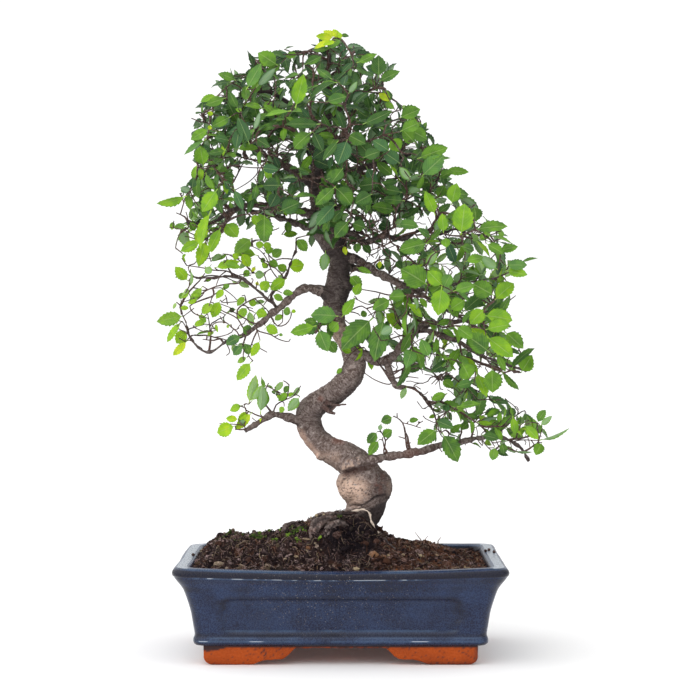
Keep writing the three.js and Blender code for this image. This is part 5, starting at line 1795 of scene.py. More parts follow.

# Twigs and leaves that stand out in the picture, drawn over enlarged crops of it. A crop has its corner in
# the picture and its enlargement; places below are in the crop. A twig is its places and its first radius in
# mm; a leaf is its stalk end, its tip, its width and how light it is, below 0 when it shows its underside.
# A leaf's lightness is its own colour with light and shade painted in; a crop's lighter raises all its leaves
drawn = {
    "left": {
        "corner": (150, 220), "zoom": 6.272, "depth": None, "lighter": 0.13,
        "twigs": [
            ([(600, 370), (540, 345), (480, 320), (400, 315), (330, 300), (230, 285)], 0.6),
            ([(480, 318), (440, 350), (415, 410)], 0.45),
            ([(560, 395), (500, 400), (420, 415), (340, 450), (300, 480), (195, 520)], 0.6),
            ([(400, 470), (330, 500), (250, 540), (270, 580), (335, 612)], 0.7),
            ([(500, 400), (470, 430), (400, 470), (370, 540)], 0.5),
            ([(600, 700), (580, 670), (550, 620), (500, 590), (440, 560), (440, 530)], 0.6),
            ([(545, 700), (510, 672), (480, 645), (430, 640), (395, 655), (380, 740)], 0.5),
            ([(375, 830), (380, 740), (372, 650), (362, 590)], 0.9),
            ([(545, 620), (548, 565), (600, 520), (680, 485), (740, 490)], 0.55),
            ([(750, 580), (720, 550), (665, 500)], 0.5),
            ([(672, 690), (655, 730), (640, 770), (618, 850), (645, 882)], 0.65),
            ([(640, 780), (680, 800), (735, 830)], 0.4),
            ([(690, 700), (760, 720), (800, 745), (870, 762), (880, 745)], 0.5),
            ([(765, 620), (800, 665), (850, 655), (878, 620), (885, 598)], 0.5),
            ([(800, 665), (830, 640), (832, 610)], 0.35),
            ([(890, 240), (830, 242), (740, 262), (700, 245)], 0.5),
            ([(800, 365), (760, 310), (730, 240), (690, 190), (640, 165)], 0.5),
            ([(750, 310), (700, 340), (650, 332), (560, 345)], 0.45),
            ([(480, 490), (450, 515), (540, 512), (600, 500)], 0.4),
            ([(485, 530), (480, 490), (470, 470)], 0.5), ([(470, 770), (500, 830), (478, 850)], 0.4),
            ([(290, 680), (340, 700), (420, 690)], 0.35), ([(230, 640), (210, 610), (200, 590)], 0.5),
            ([(235, 700), (205, 640), (180, 632)], 0.4), ([(250, 740), (225, 762), (215, 772)], 0.4),
            ([(285, 365), (250, 330), (240, 300)], 0.35), ([(440, 745), (400, 755), (330, 748)], 0.8),
            ([(120, 45), (200, 60), (270, 90), (330, 110)], 0.5),
            ([(365, 200), (350, 140), (380, 90), (440, 50)], 0.5),
            ([(160, 175), (180, 100), (215, 60)], 0.35),
        ],
        "leaves": [
            ((215, 600), (52, 635), 82, 0.62), ((200, 635), (103, 757), 44, 0.62),
            ((235, 690), (165, 768), 78, 0.66), ((235, 755), (145, 850), 46, 0.84),
            ((240, 384), (162, 298), 66, 0.6), ((330, 415), (250, 520), 52, 0.62),
            ((255, 310), (262, 412), 24, -0.6), ((245, 418), (206, 492), 30, -0.6),
            ((440, 502), (392, 606), 66, 0.62), ((400, 520), (326, 582), 60, 0.66),
            ((462, 428), (418, 492), 40, 0.62), ((502, 402), (458, 430), 34, 0.5),
            ((405, 300), (552, 262), 52, 0.6), ((462, 272), (562, 296), 44, 0.45),
            ((345, 292), (384, 332), 44, -0.5), ((640, 112), (536, 200), 84, 0.62),
            ((678, 222), (534, 196), 62, 0.5), ((570, 205), (626, 290), 60, 0.7),
            ((440, 58), (378, 195), 60, 0.68), ((320, 128), (200, 192), 60, 0.66),
            ((352, 120), (306, 282), 74, 0.62), ((362, 15), (288, 135), 72, 0.72),
            ((185, 90), (145, 182), 14, 0.6), ((205, 210), (218, 266), 14, 0.6),
            ((232, 32), (148, 46), 40, 0.55), ((480, 20), (506, 100), 60, 0.66),
            ((742, 128), (690, -30), 96, 0.42), ((690, 125), (684, 178), 44, 0.62),
            ((724, 130), (742, 190), 44, 0.6), ((720, 210), (770, 178), 40, 0.5),
            ((762, 238), (822, 186), 56, 0.55), ((740, 262), (800, 290), 50, 0.42),
            ((735, 265), (712, 300), 44, 0.62), ((688, 242), (722, 262), 30, 0.5),
            ((826, 92), (922, 86), 42, 0.5), ((862, 0), (868, 80), 46, 0.3),
            ((922, 112), (980, 195), 60, 0.42), ((916, 120), (934, 165), 30, 0.4),
            ((866, 300), (964, 280), 80, 0.62), ((864, 318), (804, 286), 50, 0.5),
            ((690, 446), (744, 388), 58, 0.6), ((858, 366), (760, 432), 74, 0.55),
            ((768, 470), (832, 500), 40, 0.5), ((826, 458), (892, 458), 40, 0.5),
            ((596, 478), (548, 532), 42, 0.55), ((612, 512), (666, 528), 46, 0.6),
            ((610, 546), (554, 614), 54, 0.66), ((622, 564), (640, 664), 40, -0.6),
            ((655, 580), (732, 592), 54, 0.55), ((830, 564), (880, 582), 50, 0.5),
            ((884, 576), (914, 572), 24, 0.6), ((776, 632), (832, 600), 40, 0.55),
            ((722, 662), (796, 708), 58, 0.55), ((806, 718), (832, 722), 18, 0.5),
            ((576, 668), (632, 706), 62, 0.2), ((576, 726), (480, 776), 66, 0.22),
            ((576, 782), (526, 844), 54, 0.25), ((594, 768), (622, 842), 50, 0.25),
            ((690, 754), (636, 852), 46, 0.64), ((610, 860), (546, 890), 34, 0.6),
            ((636, 888), (544, 998), 64, 0.6), ((280, 722), (384, 700), 24, 0.35),
            ((356, 724), (396, 704), 28, 0.6), ((412, 648), (420, 702), 18, 0.66),
            ((268, 664), (350, 634), 36, 0.6), ((186, 552), (240, 552), 28, 0.6),
            ((166, 515), (146, 556), 18, -0.7), ((500, 548), (522, 578), 34, 0.15),
            ((612, 250), (566, 302), 34, -0.6), ((628, 312), (588, 350), 40, 0.42),
            ((652, 334), (714, 344), 50, -0.5), ((344, 388), (386, 370), 20, 0.5),
            ((246, 462), (204, 486), 22, 0.6), ((330, 470), (270, 470), 22, 0.55),
            ((296, 500), (240, 520), 26, 0.62), ((420, 560), (352, 560), 44, 0.64),
            ((660, 292), (640, 322), 22, 0.95), ((676, 384), (668, 410), 20, 0.9),
            ((250, 8), (282, 66), 44, 0.35), ((150, 5), (132, 60), 34, 0.5),
            ((300, 590), (350, 640), 34, 0.5), ((200, 240), (222, 214), 16, 0.5),
            ((560, 240), (520, 214), 40, 0.6), ((588, 275), (610, 232), 36, 0.58),
        ],
    },
    "lowLeft": {
        "corner": (150, 220), "zoom": 6.272, "depth": None,
        "twigs": [
            ([(720, 1240), (680, 1228), (640, 1210), (600, 1190), (590, 1158)], 0.6),
            ([(604, 1216), (600, 1180), (580, 1172), (560, 1166)], 0.5),
            ([(772, 1210), (790, 1162), (830, 1136), (890, 1110), (906, 1098)], 0.5),
            ([(826, 1136), (820, 1100), (780, 1066), (714, 1034)], 0.4),
            ([(590, 1290), (560, 1284), (510, 1280), (435, 1278)], 0.4),
            ([(700, 1255), (668, 1262), (640, 1240)], 0.35),
        ],
        "leaves": [
            ((618, 1156), (662, 984), 62, -0.75), ((634, 1140), (704, 1040), 40, -0.7),
            ((692, 1218), (712, 1034), 72, -0.7), ((716, 1172), (738, 1092), 40, 0.5),
            ((578, 1160), (502, 1192), 46, 0.7), ((640, 1206), (538, 1312), 54, 0.86),
            ((620, 1200), (556, 1262), 50, 0.84), ((536, 1290), (424, 1332), 88, 0.84),
            ((556, 1250), (480, 1244), 44, 0.84), ((600, 1262), (560, 1268), 34, -0.5),
            ((838, 1008), (790, 1072), 34, -0.7), ((872, 1034), (840, 1082), 36, 0.3),
            ((866, 1080), (808, 1132), 42, 0.6), ((946, 1040), (898, 1104), 28, -0.65),
            ((940, 1108), (868, 1194), 62, -0.6), ((842, 1168), (814, 1204), 34, 0.7),
            ((706, 1240), (664, 1284), 18, 0.86), ((792, 1098), (818, 1120), 22, 0.7),
            ((860, 1108), (900, 1086), 26, 0.66),
        ],
    },
    "trunkSide": {
        "corner": (150, 220), "zoom": 6.272, "depth": (-30, -16),
        "twigs": [
            ([(1190, 640), (1206, 600), (1180, 560), (1160, 548)], 0.5),
            ([(1200, 640), (1120, 640), (1055, 668)], 0.5), ([(1215, 690), (1212, 640), (1205, 610)], 0.5),
            ([(1330, 540), (1380, 580), (1400, 610)], 0.6),
        ],
        "leaves": [
            ((1186, 604), (1020, 586), 106, 0.5), ((1044, 662), (886, 706), 70, 0.56),
            ((1054, 682), (1112, 816), 92, 0.5), ((1110, 752), (1168, 830), 62, 0.36),
            ((1054, 640), (972, 630), 44, 0.42), ((1184, 636), (1130, 694), 68, 0.55),
            ((1062, 654), (1112, 652), 20, 0.45), ((1202, 612), (1282, 498), 60, 0.55),
            ((1282, 480), (1318, 402), 56, 0.6), ((1250, 346), (1322, 420), 66, 0.5),
            ((1294, 296), (1384, 332), 34, 0.5), ((1102, 192), (1092, 318), 60, -0.5),
            ((1206, 925), (1172, 962), 26, 0.55), ((1398, 612), (1208, 792), 140, 0.37),
            ((1470, 606), (1404, 868), 116, 0.36), ((1344, 800), (1240, 872), 82, 0.72),
            ((1372, 850), (1390, 934), 42, 0.66), ((1270, 830), (1204, 806), 44, 0.66),
            ((1470, 560), (1404, 540), 60, 0.42), ((1250, 650), (1300, 690), 54, 0.4),
            ((1316, 600), (1360, 586), 44, 0.42), ((1215, 160), (1228, 215), 30, 0.96),
            ((1290, 140), (1300, 200), 50, 0.3), ((1440, 250), (1440, 300), 26, 0.96),
        ],
    },
    "right": {
        "corner": (340, 130), "zoom": 4.483, "depth": (-58, -30), "lighter": -0.02,
        "twigs": [
            ([(80, 712), (160, 725), (235, 738)], 0.6),
            ([(60, 752), (130, 782), (158, 770), (172, 752)], 0.4),
            ([(240, 800), (258, 862), (320, 905), (372, 885)], 0.9),
            ([(430, 1010), (560, 1020), (640, 1050), (725, 1078)], 0.7),
            ([(240, 1084), (330, 1070), (352, 1066)], 0.6), ([(236, 1112), (300, 1106), (352, 1112)], 0.6),
            ([(330, 1160), (380, 1200), (410, 1250), (440, 1262)], 0.6),
            ([(345, 1216), (360, 1236), (372, 1250)], 0.35),
            ([(110, 1090), (160, 1122), (222, 1140)], 0.45),
            ([(340, 470), (420, 460), (500, 474), (560, 480)], 0.6),
            ([(150, 500), (210, 440), (270, 402)], 0.6),
            ([(300, 890), (300, 830), (340, 780), (400, 770)], 0.6),
            ([(490, 1062), (460, 1100), (426, 1142)], 0.45), ([(560, 850), (620, 900), (650, 930)], 0.5),
            ([(220, 745), (250, 820), (280, 880), (330, 910)], 0.9),
            ([(330, 905), (420, 905), (500, 925), (560, 960), (640, 1020), (700, 1050), (780, 1085)], 0.9),
            ([(380, 1000), (470, 1010), (560, 1015), (640, 1045), (720, 1070)], 0.6),
            ([(300, 905), (350, 870), (430, 860), (500, 870), (590, 850)], 0.6),
            ([(310, 750), (300, 820), (340, 850)], 0.5), ([(230, 1100), (300, 1060), (380, 1040)], 0.6),
            ([(160, 1030), (200, 1080), (235, 1130), (260, 1150)], 1.4),
            ([(300, 1150), (350, 1170), (400, 1240), (430, 1260)], 0.6),
            ([(410, 1140), (440, 1110), (500, 1060), (480, 1020)], 0.5),
            ([(480, 1090), (560, 1150), (620, 1210)], 0.5),
        ],
        "leaves": [
            ((466, 180), (570, 188), 32, 0.5), ((500, 335), (522, 244), 58, 0.56),
            ((542, 474), (560, 334), 86, 0.6), ((465, 462), (458, 380), 42, 0.6),
            ((428, 382), (384, 280), 52, 0.6), ((606, 446), (740, 424), 50, 0.42),
            ((642, 466), (776, 498), 14, 0.5), ((654, 508), (730, 552), 44, 0.42),
            ((714, 540), (792, 524), 40, 0.46), ((804, 594), (886, 578), 18, 0.42),
            ((742, 606), (836, 604), 44, 0.46), ((744, 630), (834, 646), 44, 0.6),
            ((690, 766), (776, 684), 72, 0.6), ((692, 742), (598, 690), 76, 0.4),
            ((396, 696), (284, 622), 98, 0.42), ((462, 700), (398, 636), 62, 0.6),
            ((456, 700), (440, 824), 82, 0.6), ((398, 506), (274, 534), 72, 0.34),
            ((386, 612), (430, 544), 40, -0.6), ((476, 532), (474, 486), 42, 0.52),
            ((506, 724), (602, 692), 46, 0.5), ((708, 628), (636, 566), 50, -0.6),
            ((642, 832), (772, 846), 70, 0.6), ((650, 896), (756, 868), 60, 0.58),
            ((654, 924), (768, 1012), 74, 0.64), ((738, 904), (818, 972), 60, 0.44),
            ((650, 800), (586, 862), 62, 0.6), ((672, 996), (572, 922), 92, 0.34),
            ((402, 1022), (366, 942), 50, 0.5), ((546, 1046), (586, 1114), 76, 0.5),
            ((680, 1064), (684, 1170), 84, 0.46), ((722, 1080), (800, 1158), 22, 0.36),
            ((762, 1078), (848, 968), 36, 0.28), ((812, 1088), (858, 1014), 72, 0.5),
            ((455, 1122), (506, 1150), 40, 0.5), ((600, 1130), (528, 1146), 40, 0.46),
            ((434, 1338), (352, 1408), 62, 0.42), ((456, 1356), (532, 1482), 74, 0.34),
            ((430, 1302), (504, 1334), 46, 0.28), ((524, 1242), (622, 1222), 30, 0.42),
            ((632, 1366), (708, 1384), 40, 0.26), ((772, 1282), (788, 1362), 36, 0.62),
            ((826, 1322), (884, 1384), 40, 0.62), ((884, 1314), (918, 1254), 36, 0.38),
            ((896, 1326), (948, 1284), 26, -0.5), ((890, 1392), (1026, 1354), 12, -0.5),
            ((906, 1400), (878, 1452), 48, 0.5), ((694, 1420), (684, 1478), 40, 0.62),
            ((724, 1398), (738, 1452), 34, 0.3), ((300, 1150), (272, 1204), 24, -0.6),
            ((480, 1180), (412, 1206), 36, 0.5), ((230, 760), (150, 800), 56, 0.42),
            ((300, 742), (226, 750), 60, 0.44), ((240, 880), (186, 914), 44, -0.4),
            ((470, 240), (440, 300), 44, 0.4), ((600, 340), (614, 410), 56, 0.36),
            ((590, 390), (566, 450), 44, -0.4), ((540, 520), (600, 540), 40, 0.3),
            ((560, 590), (640, 570), 40, 0.46), ((500, 640), (466, 700), 52, 0.42),
            ((700, 1000), (740, 1080), 30, 0.4), ((520, 880), (590, 930), 56, 0.46),
            ((560, 760), (500, 800), 60, 0.5),
        ],
    },
    "sprays": {
        "corner": (340, 130), "zoom": 4.483, "depth": None,
        "twigs": [
            ([(196, 1448), (204, 1392), (186, 1356), (174, 1338)], 0.7),
            ([(204, 1396), (222, 1376), (230, 1368)], 0.5),
            ([(304, 1432), (290, 1345), (280, 1312), (256, 1290), (240, 1284)], 0.85),
            ([(256, 1290), (256, 1268)], 0.4), ([(292, 1384), (262, 1374)], 0.45),
            ([(298, 1412), (318, 1402)], 0.4), ([(282, 1312), (320, 1322), (362, 1336)], 0.35),
            ([(838, 1300), (834, 1276), (828, 1258)], 0.5), ([(640, 1390), (664, 1424), (684, 1440)], 0.45),
            ([(760, 1400), (810, 1390), (890, 1392)], 0.5),
        ],
        "leaves": [
            ((238, 1286), (188, 1308), 42, 0.36), ((184, 1318), (178, 1346), 18, -0.5),
            ((192, 1378), (230, 1346), 40, 0.42), ((168, 1352), (124, 1402), 42, 0.36),
            ((176, 1388), (130, 1454), 42, 0.42), ((306, 1306), (348, 1298), 24, 0.42),
        ],
    },
    "crown": {
        "corner": (150, 20), "zoom": 5.807, "depth": (-70, -46),
        "twigs": [
            ([(800, 850), (740, 830), (660, 820), (560, 805), (500, 790), (440, 800)], 1.1),
            ([(690, 850), (600, 858), (520, 850)], 0.5), ([(625, 885), (580, 935), (500, 985)], 0.4),
            ([(320, 1020), (260, 1018), (215, 1026)], 0.45), ([(340, 600), (290, 590), (240, 570)], 0.6),
            ([(1090, 250), (1110, 190), (1135, 170)], 0.5), ([(1380, 530), (1430, 530), (1465, 515)], 0.5),
        ],
        "leaves": [
            ((845, 512), (890, 324), 84, 0.62), ((820, 528), (672, 544), 38, 0.6),
            ((1060, 118), (958, 152), 36, 0.97), ((1070, 104), (968, 94), 44, 0.93),
            ((1082, 100), (1010, 62), 40, 0.97), ((1100, 108), (1064, 56), 38, 0.92),
            ((1080, 124), (1010, 140), 30, 0.9), ((1104, 92), (1156, 88), 24, 0.3),
            ((1110, 112), (1096, 72), 26, 0.9), ((1112, 112), (1034, 158), 44, 0.42),
            ((742, 264), (636, 190), 84, 0.45), ((1330, 336), (1326, 212), 88, 0.26),
            ((1326, 360), (1444, 300), 58, 0.3), ((1200, 250), (1314, 202), 44, 0.45),
            ((1236, 606), (1396, 536), 54, 0.24), ((915, 478), (1044, 346), 44, 0.16),
            ((992, 604), (798, 606), 66, 0.2), ((942, 648), (828, 738), 84, 0.36),
            ((946, 648), (1000, 758), 58, 0.12), ((578, 722), (516, 570), 62, 0.18),
            ((600, 650), (636, 538), 32, -0.2), ((1146, 690), (1096, 832), 96, 0.24),
            ((1094, 700), (1008, 806), 46, 0.3), ((312, 852), (292, 738), 84, 0.55),
            ((502, 352), (404, 304), 50, 0.36), ((442, 756), (344, 776), 40, 0.3),
            ((330, 690), (206, 780), 34, 0.45), ((344, 632), (238, 690), 58, 0.52),
            ((214, 1022), (46, 1080), 34, 0.62), ((246, 982), (252, 918), 42, 0.1),
            ((238, 990), (180, 976), 46, -0.3), ((392, 980), (306, 1104), 80, 0.64),
            ((356, 1106), (262, 1318), 62, 0.72), ((292, 1284), (184, 1340), 54, 0.66),
            ((412, 1200), (346, 1344), 60, 0.66), ((334, 1284), (286, 1424), 66, 0.6),
            ((436, 1176), (504, 1256), 76, 0.6), ((664, 1136), (662, 1284), 96, 0.42),
            ((592, 1126), (632, 1194), 50, 0.66), ((752, 1112), (862, 1062), 84, 0.3),
            ((832, 1026), (962, 1016), 36, 0.36), ((1078, 966), (966, 1066), 66, 0.34),
            ((1072, 970), (1176, 1062), 92, 0.32), ((1078, 1068), (972, 1184), 76, 0.28),
            ((1160, 1162), (1070, 1256), 74, 0.3), ((1016, 930), (1112, 894), 74, 0.3),
            ((1434, 1186), (1556, 1190), 62, 0.42), ((1516, 934), (1452, 860), 50, -0.4),
            ((1448, 570), (1562, 520), 84, 0.42), ((1452, 648), (1566, 592), 70, 0.46),
            ((392, 440), (294, 462), 42, 0.6), ((440, 452), (330, 490), 50, 0.45),
            ((560, 404), (640, 262), 66, 0.55), ((616, 392), (724, 284), 46, -0.25),
            ((1016, 480), (1138, 440), 60, 0.38), ((1134, 500), (1040, 466), 30, 0.5),
            ((1150, 430), (1200, 360), 34, -0.35), ((470, 560), (360, 620), 60, 0.4),
            ((520, 620), (500, 740), 60, 0.16), ((760, 960), (660, 960), 84, 0.12),
            ((740, 1000), (700, 1080), 66, 0.1), ((1290, 1010), (1200, 1060), 84, 0.24),
            ((1120, 860), (1060, 940), 70, 0.34), ((460, 700), (380, 680), 40, 0.28),
            ((640, 860), (740, 870), 50, 0.22), ((620, 950), (604, 1040), 36, 0.3),
            ((660, 860), (636, 940), 30, 0.2), ((1400, 480), (1330, 420), 40, 0.92),
            ((1420, 520), (1370, 480), 36, 0.5), ((350, 560), (350, 530), 30, 0.9),
            ((344, 640), (352, 612), 24, 0.92), ((1240, 800), (1330, 760), 70, 0.22),
            ((1390, 760), (1300, 700), 70, 0.26), ((1480, 1050), (1360, 1040), 60, 0.28),
            ((900, 260), (990, 210), 50, 0.32), ((860, 200), (790, 210), 44, 0.4),
            ((780, 170), (834, 152), 12, 0.3), ((940, 180), (1040, 168), 36, 0.36),
        ],
    },
    # Thick dark twigs and very dark leaves beside the trunk: their darkness also paints the shade in this
    # spot
    "besideTrunk": {
        "corner": (150, 20), "zoom": 5.807, "depth": (-14, -4),
        "twigs": [
            ([(1110, 1290), (1160, 1210), (1230, 1170), (1300, 1180)], 1.7),
            ([(1120, 1250), (1190, 1230), (1260, 1250), (1330, 1230)], 1.5),
            ([(1140, 1330), (1180, 1280), (1250, 1300), (1290, 1290)], 1.3),
            ([(1130, 1170), (1180, 1190), (1230, 1230)], 1.4),
            ([(1290, 1290), (1350, 1240), (1440, 1185)], 0.8),
            ([(1280, 1340), (1380, 1300), (1470, 1250), (1556, 1232)], 0.8),
            ([(1000, 1190), (1060, 1240), (1110, 1300)], 0.6),
            ([(1200, 1240), (1240, 1320), (1300, 1380)], 0.8),
            ([(1340, 1260), (1360, 1340), (1420, 1400)], 0.7),
            ([(1250, 1150), (1290, 1210), (1300, 1290)], 0.8),
            ([(1380, 1220), (1400, 1290), (1480, 1330)], 0.7),
            ([(1210, 1400), (1260, 1440), (1330, 1460)], 0.9),
        ],
        "leaves": [
            ((1180, 1180), (1240, 1140), 50, 0.1), ((1250, 1200), (1310, 1170), 46, 0.12),
            ((1200, 1260), (1150, 1300), 50, 0.08), ((1290, 1240), (1340, 1290), 44, 0.15),
            ((1230, 1300), (1280, 1350), 44, 0.2), ((1340, 1330), (1400, 1370), 46, 0.2),
            ((1400, 1290), (1450, 1250), 44, 0.2), ((1380, 1210), (1330, 1190), 50, 0.12),
            ((1440, 1330), (1500, 1360), 50, 0.25), ((1300, 1420), (1360, 1440), 40, 0.2),
            ((1420, 1400), (1470, 1440), 40, 0.25),
        ],
    },
    "crownRight": {
        "corner": (340, 130), "zoom": 4.483, "depth": (-60, -34),
        "twigs": [],
        "leaves": [
            ((296, -10), (390, 40), 60, 0.46), ((346, 130), (478, 76), 62, 0.44),
            ((364, 210), (460, 120), 80, 0.46), ((446, 214), (500, 186), 44, 0.36),
            ((226, 36), (264, 92), 60, 0.52), ((264, 166), (310, 226), 34, -0.4),
            ((270, 150), (200, 100), 60, 0.2), ((180, 240), (86, 250), 60, 0.24),
            ((150, 130), (90, 60), 66, 0.26), ((280, 280), (190, 262), 44, 0.24),
            ((250, 360), (150, 340), 56, 0.34), ((60, 300), (140, 320), 56, 0.26),
            ((30, 20), (110, 60), 60, 0.3), ((340, 60), (280, 0), 60, 0.4),
            ((120, 440), (60, 420), 50, 0.3),
        ],
    },
}


def insideOutline(outline, across, down):
    inside = np.zeros(np.shape(across), bool)
    for (x1, y1), (x2, y2) in zip(outline, outline[1:] + outline[:1]):
        crossing = (y1 > down) != (y2 > down)
        inside ^= crossing & (across < (x2 - x1) * (down - y1) / ((y2 - y1) or 1e-9) + x1)
    return inside


def edgeDistance(outline, across, down):
    places = np.c_[np.atleast_1d(across), np.atleast_1d(down)].astype(float)
    nearest = np.full(len(places), 1e9)
    for a, b in zip(outline, outline[1:] + outline[:1]):
        a, b = np.array(a, float), np.array(b, float)
        share = np.clip((places - a) @ (b - a) / ((b - a) @ (b - a)), 0, 1)
        nearest = np.minimum(nearest, np.linalg.norm(places - a - share[:, None] * (b - a), axis=1))
    return nearest


def regionAt(across, down):
    for region in foliage.values():
        if insideOutline(region["outline"], across, down):
            return region
    return None


# How deep the foliage is at a distance from its outline, as a share of its reach
def bulge(toEdge):
    return np.sqrt(1 - (1 - np.minimum(toEdge / 75, 1)) ** 2) * 0.85 + 0.15


# Places spread evenly through an outline, more of them near its front and back
def scatter(outline, spacing, reach, limit, rng):
    low, high = np.min(outline, axis=0), np.max(outline, axis=0)
    across = np.array([rng.uniform(low[0], high[0]) for _ in range(growth["samples"])])
    down = np.array([rng.uniform(low[1], high[1]) for _ in range(growth["samples"])])
    keep = insideOutline(outline, across, down)
    for gap in gaps:
        keep &= ~insideOutline(gap, across, down)
    across, down = across[keep], down[keep]
    deep = bulge(edgeDistance(outline, across, down))
    placed = np.empty((0, 3))
    for i in range(len(across)):
        share = rng.random() ** 0.6
        depth = (reach[0] if rng.random() < 0.5 else reach[1]) * share * deep[i]
        tip = seen(across[i], down[i], depth)
        if len(placed) < limit and (np.linalg.norm(placed - tip, axis=1) > spacing * mm).all():
            placed = np.vstack([placed, tip])
    return placed


# Every point of wood that a twig may leave, with its direction, its owner and its stem
wood = {"places": np.empty((0, 3)), "directions": np.empty((0, 3)), "owners": [], "stems": []}
stems = []


def addWood(places, owner, stem):
    directions = np.gradient(places, axis=0)
    directions /= np.maximum(np.linalg.norm(directions, axis=1), 1e-9)[:, None]
    wood["places"] = np.vstack([wood["places"], places])
    wood["directions"] = np.vstack([wood["directions"], directions])
    wood["owners"] += [owner] * len(places)
    wood["stems"] += [stem] * len(places)


def startFor(tip):
    towards = tip - wood["places"]
    reach = np.linalg.norm(towards, axis=1)
    lean = (towards * wood["directions"]).sum(axis=1) / np.maximum(reach, 1e-9)
    return int(np.argmin(reach * (1.45 - 0.5 * lean)))


# The point of wood seen nearest to a place in the picture
def woodSeenAt(across, down):
    seenAcross, seenDown = pixelOf(wood["places"].T)
    return int(np.argmin(np.hypot(seenAcross - across, seenDown - down)))


def bowedPath(start, direction, tip, rng, zigzag=0.35):
    reach = np.linalg.norm(tip - start)
    forward = unit(tip - start)
    leave = unit(unit(direction) * 0.5 + forward * 0.9 + up * 0.15)
    first = start + leave * reach * 0.36
    second = tip - unit(forward + up * rng.uniform(-0.5, 0.3)) * reach * 0.33
    steps = max(2, int(reach / growth["stepLength"]))
    side = unit(np.cross(forward, up) + 1e-6)
    path = []
    for i in range(steps + 1):
        t = i / steps
        place = (1 - t) ** 3 * start + 3 * t * (1 - t) ** 2 * first
        place = place + 3 * t * t * (1 - t) * second + t**3 * tip
        sway = 0 if i in (0, steps) else (-1) ** i * zigzag * mm
        path.append(place + side * sway + up * rng.uniform(-1, 1) * zigzag * mm * (0 < i < steps))
    return np.array(path)


def addStem(owner, path, carries, region, leaf, kind, blade=None, radius=None):
    stem = {
        "owner": owner, "path": path, "carries": carries, "region": region, "leaf": leaf, "kind": kind,
        "blade": blade, "radius": radius, "weight": 0.4 if kind == "bare" else 1.0,
    }
    stems.append(stem)
    return stem


def ownerFrom(owner):
    return owner if owner.startswith(("leaf", "leaves")) else "leaves_on_" + owner


def growFrom(i, tip, region, leaf, kind, rng, blade=None, zigzag=0.35):
    path = bowedPath(wood["places"][i], wood["directions"][i], tip, rng, zigzag)
    stem = addStem(ownerFrom(wood["owners"][i]), path, wood["stems"][i], region, leaf, kind, blade)
    if len(path) > 2:
        addWood(path[1:], stem["owner"], stem)
    return stem


# The twigs of the CAD frame, each from its branch to its tip
def growFrameTwigs(rng):
    for name, (on, at, tip, leaf) in twigs.items():
        best = None
        for places, _ in [trunkLimb] if on == "trunk" else branchLimbs[on]:
            across, down = pixelOf(places.T)
            apart = np.hypot(across - at[0], down - at[1])
            i = int(np.argmin(apart))
            if best is None or apart[i] < best[0]:
                best = (apart[i], places[i], unit(np.gradient(places, axis=0)[i]))
        start, end = best[1], seen(*tip)
        end = start + (end - start) * max(0.4, 1 - 0.8 * leaf * mm / np.linalg.norm(end - start))
        region = regionAt(tip[0], tip[1]) or regionAt(at[0], at[1]) or foliage["lowRight"]
        stem = addStem("leafy_" + name, bowedPath(start, best[2], end, rng), None, region, leaf, "twig")
        addWood(stem["path"][1:], "leafy_" + name, stem)


def inPicture(crop, place):
    return crop["corner"][0] + place[0] / crop["zoom"], crop["corner"][1] + place[1] / crop["zoom"]


def growDrawnTwigs(rng):
    for name, crop in drawn.items():
        for places, radius in crop["twigs"]:
            points = [inPicture(crop, place) for place in places]
            ends = [woodSeenAt(*points[0]), woodSeenAt(*points[-1])]
            feet = [np.array(pixelOf(wood["places"][i])) for i in ends]
            gapsToWood = [np.linalg.norm(feet[0] - points[0]), np.linalg.norm(feet[1] - points[-1])]
            if gapsToWood[1] < gapsToWood[0]:
                points.reverse()
                ends.reverse()
            i = ends[0]
            depth = (wood["places"][i][1] - potMiddle.y) / mm
            drift = rng.uniform(-0.12, 0.06)
            path = [wood["places"][i]]
            for before, point in zip(points, points[1:]):
                far = math.hypot(point[0] - before[0], point[1] - before[1])
                depth += drift * far + rng.uniform(-0.5, 0.5)
                path.append(seen(*point, depth))
            if gapsToWood[min(gapsToWood) == gapsToWood[1]] > 1.5:
                path.insert(1, seen(*points[0], (wood["places"][i][1] - potMiddle.y) / mm))
            smoothed, _ = smoothRoute(path, [1] * len(path), 2.2 * mm)
            region = regionAt(*points[-1]) or regionAt(*points[0]) or foliage["lowRight"]
            owner = ownerFrom(wood["owners"][i])
            stem = addStem(owner, smoothed, wood["stems"][i], region, 10, "drawn", radius=radius * mm)
            addWood(smoothed[1:], owner, stem)


# Where the stalk of a drawn leaf begins, and the leaf itself
def drawnBlades(rng):
    found = []
    for name, crop in drawn.items():
        for base, tip, width, tone in crop["leaves"]:
            base, tip = inPicture(crop, base), inPicture(crop, tip)
            if crop["depth"] is None:
                i = woodSeenAt(*base)
                depth = (wood["places"][i][1] - potMiddle.y) / mm + rng.uniform(-5, 2)
            else:
                region = regionAt(*base)
                share = bulge(edgeDistance(region["outline"], *base))[0] if region else 0.2
                depth = crop["depth"][0] * share + rng.uniform(-3, 3)
            slope = rng.uniform(-0.35, 0.35) * math.hypot(tip[0] - base[0], tip[1] - base[1]) * 0.6
            blade = {
                "base": seen(*base, depth), "tip": seen(*tip, depth + slope),
                "tone": tone + math.copysign(crop.get("lighter", 0.0), tone),
                "width": width / crop["zoom"] * view["scale"],
                "centre": ((base[0] + tip[0]) / 2, (base[1] + tip[1]) / 2),
                "reach": math.hypot(tip[0] - base[0], tip[1] - base[1]),
            }
            region = regionAt(*base) or foliage["lowRight"]
            found.append((blade["base"], region, blade))
    return found


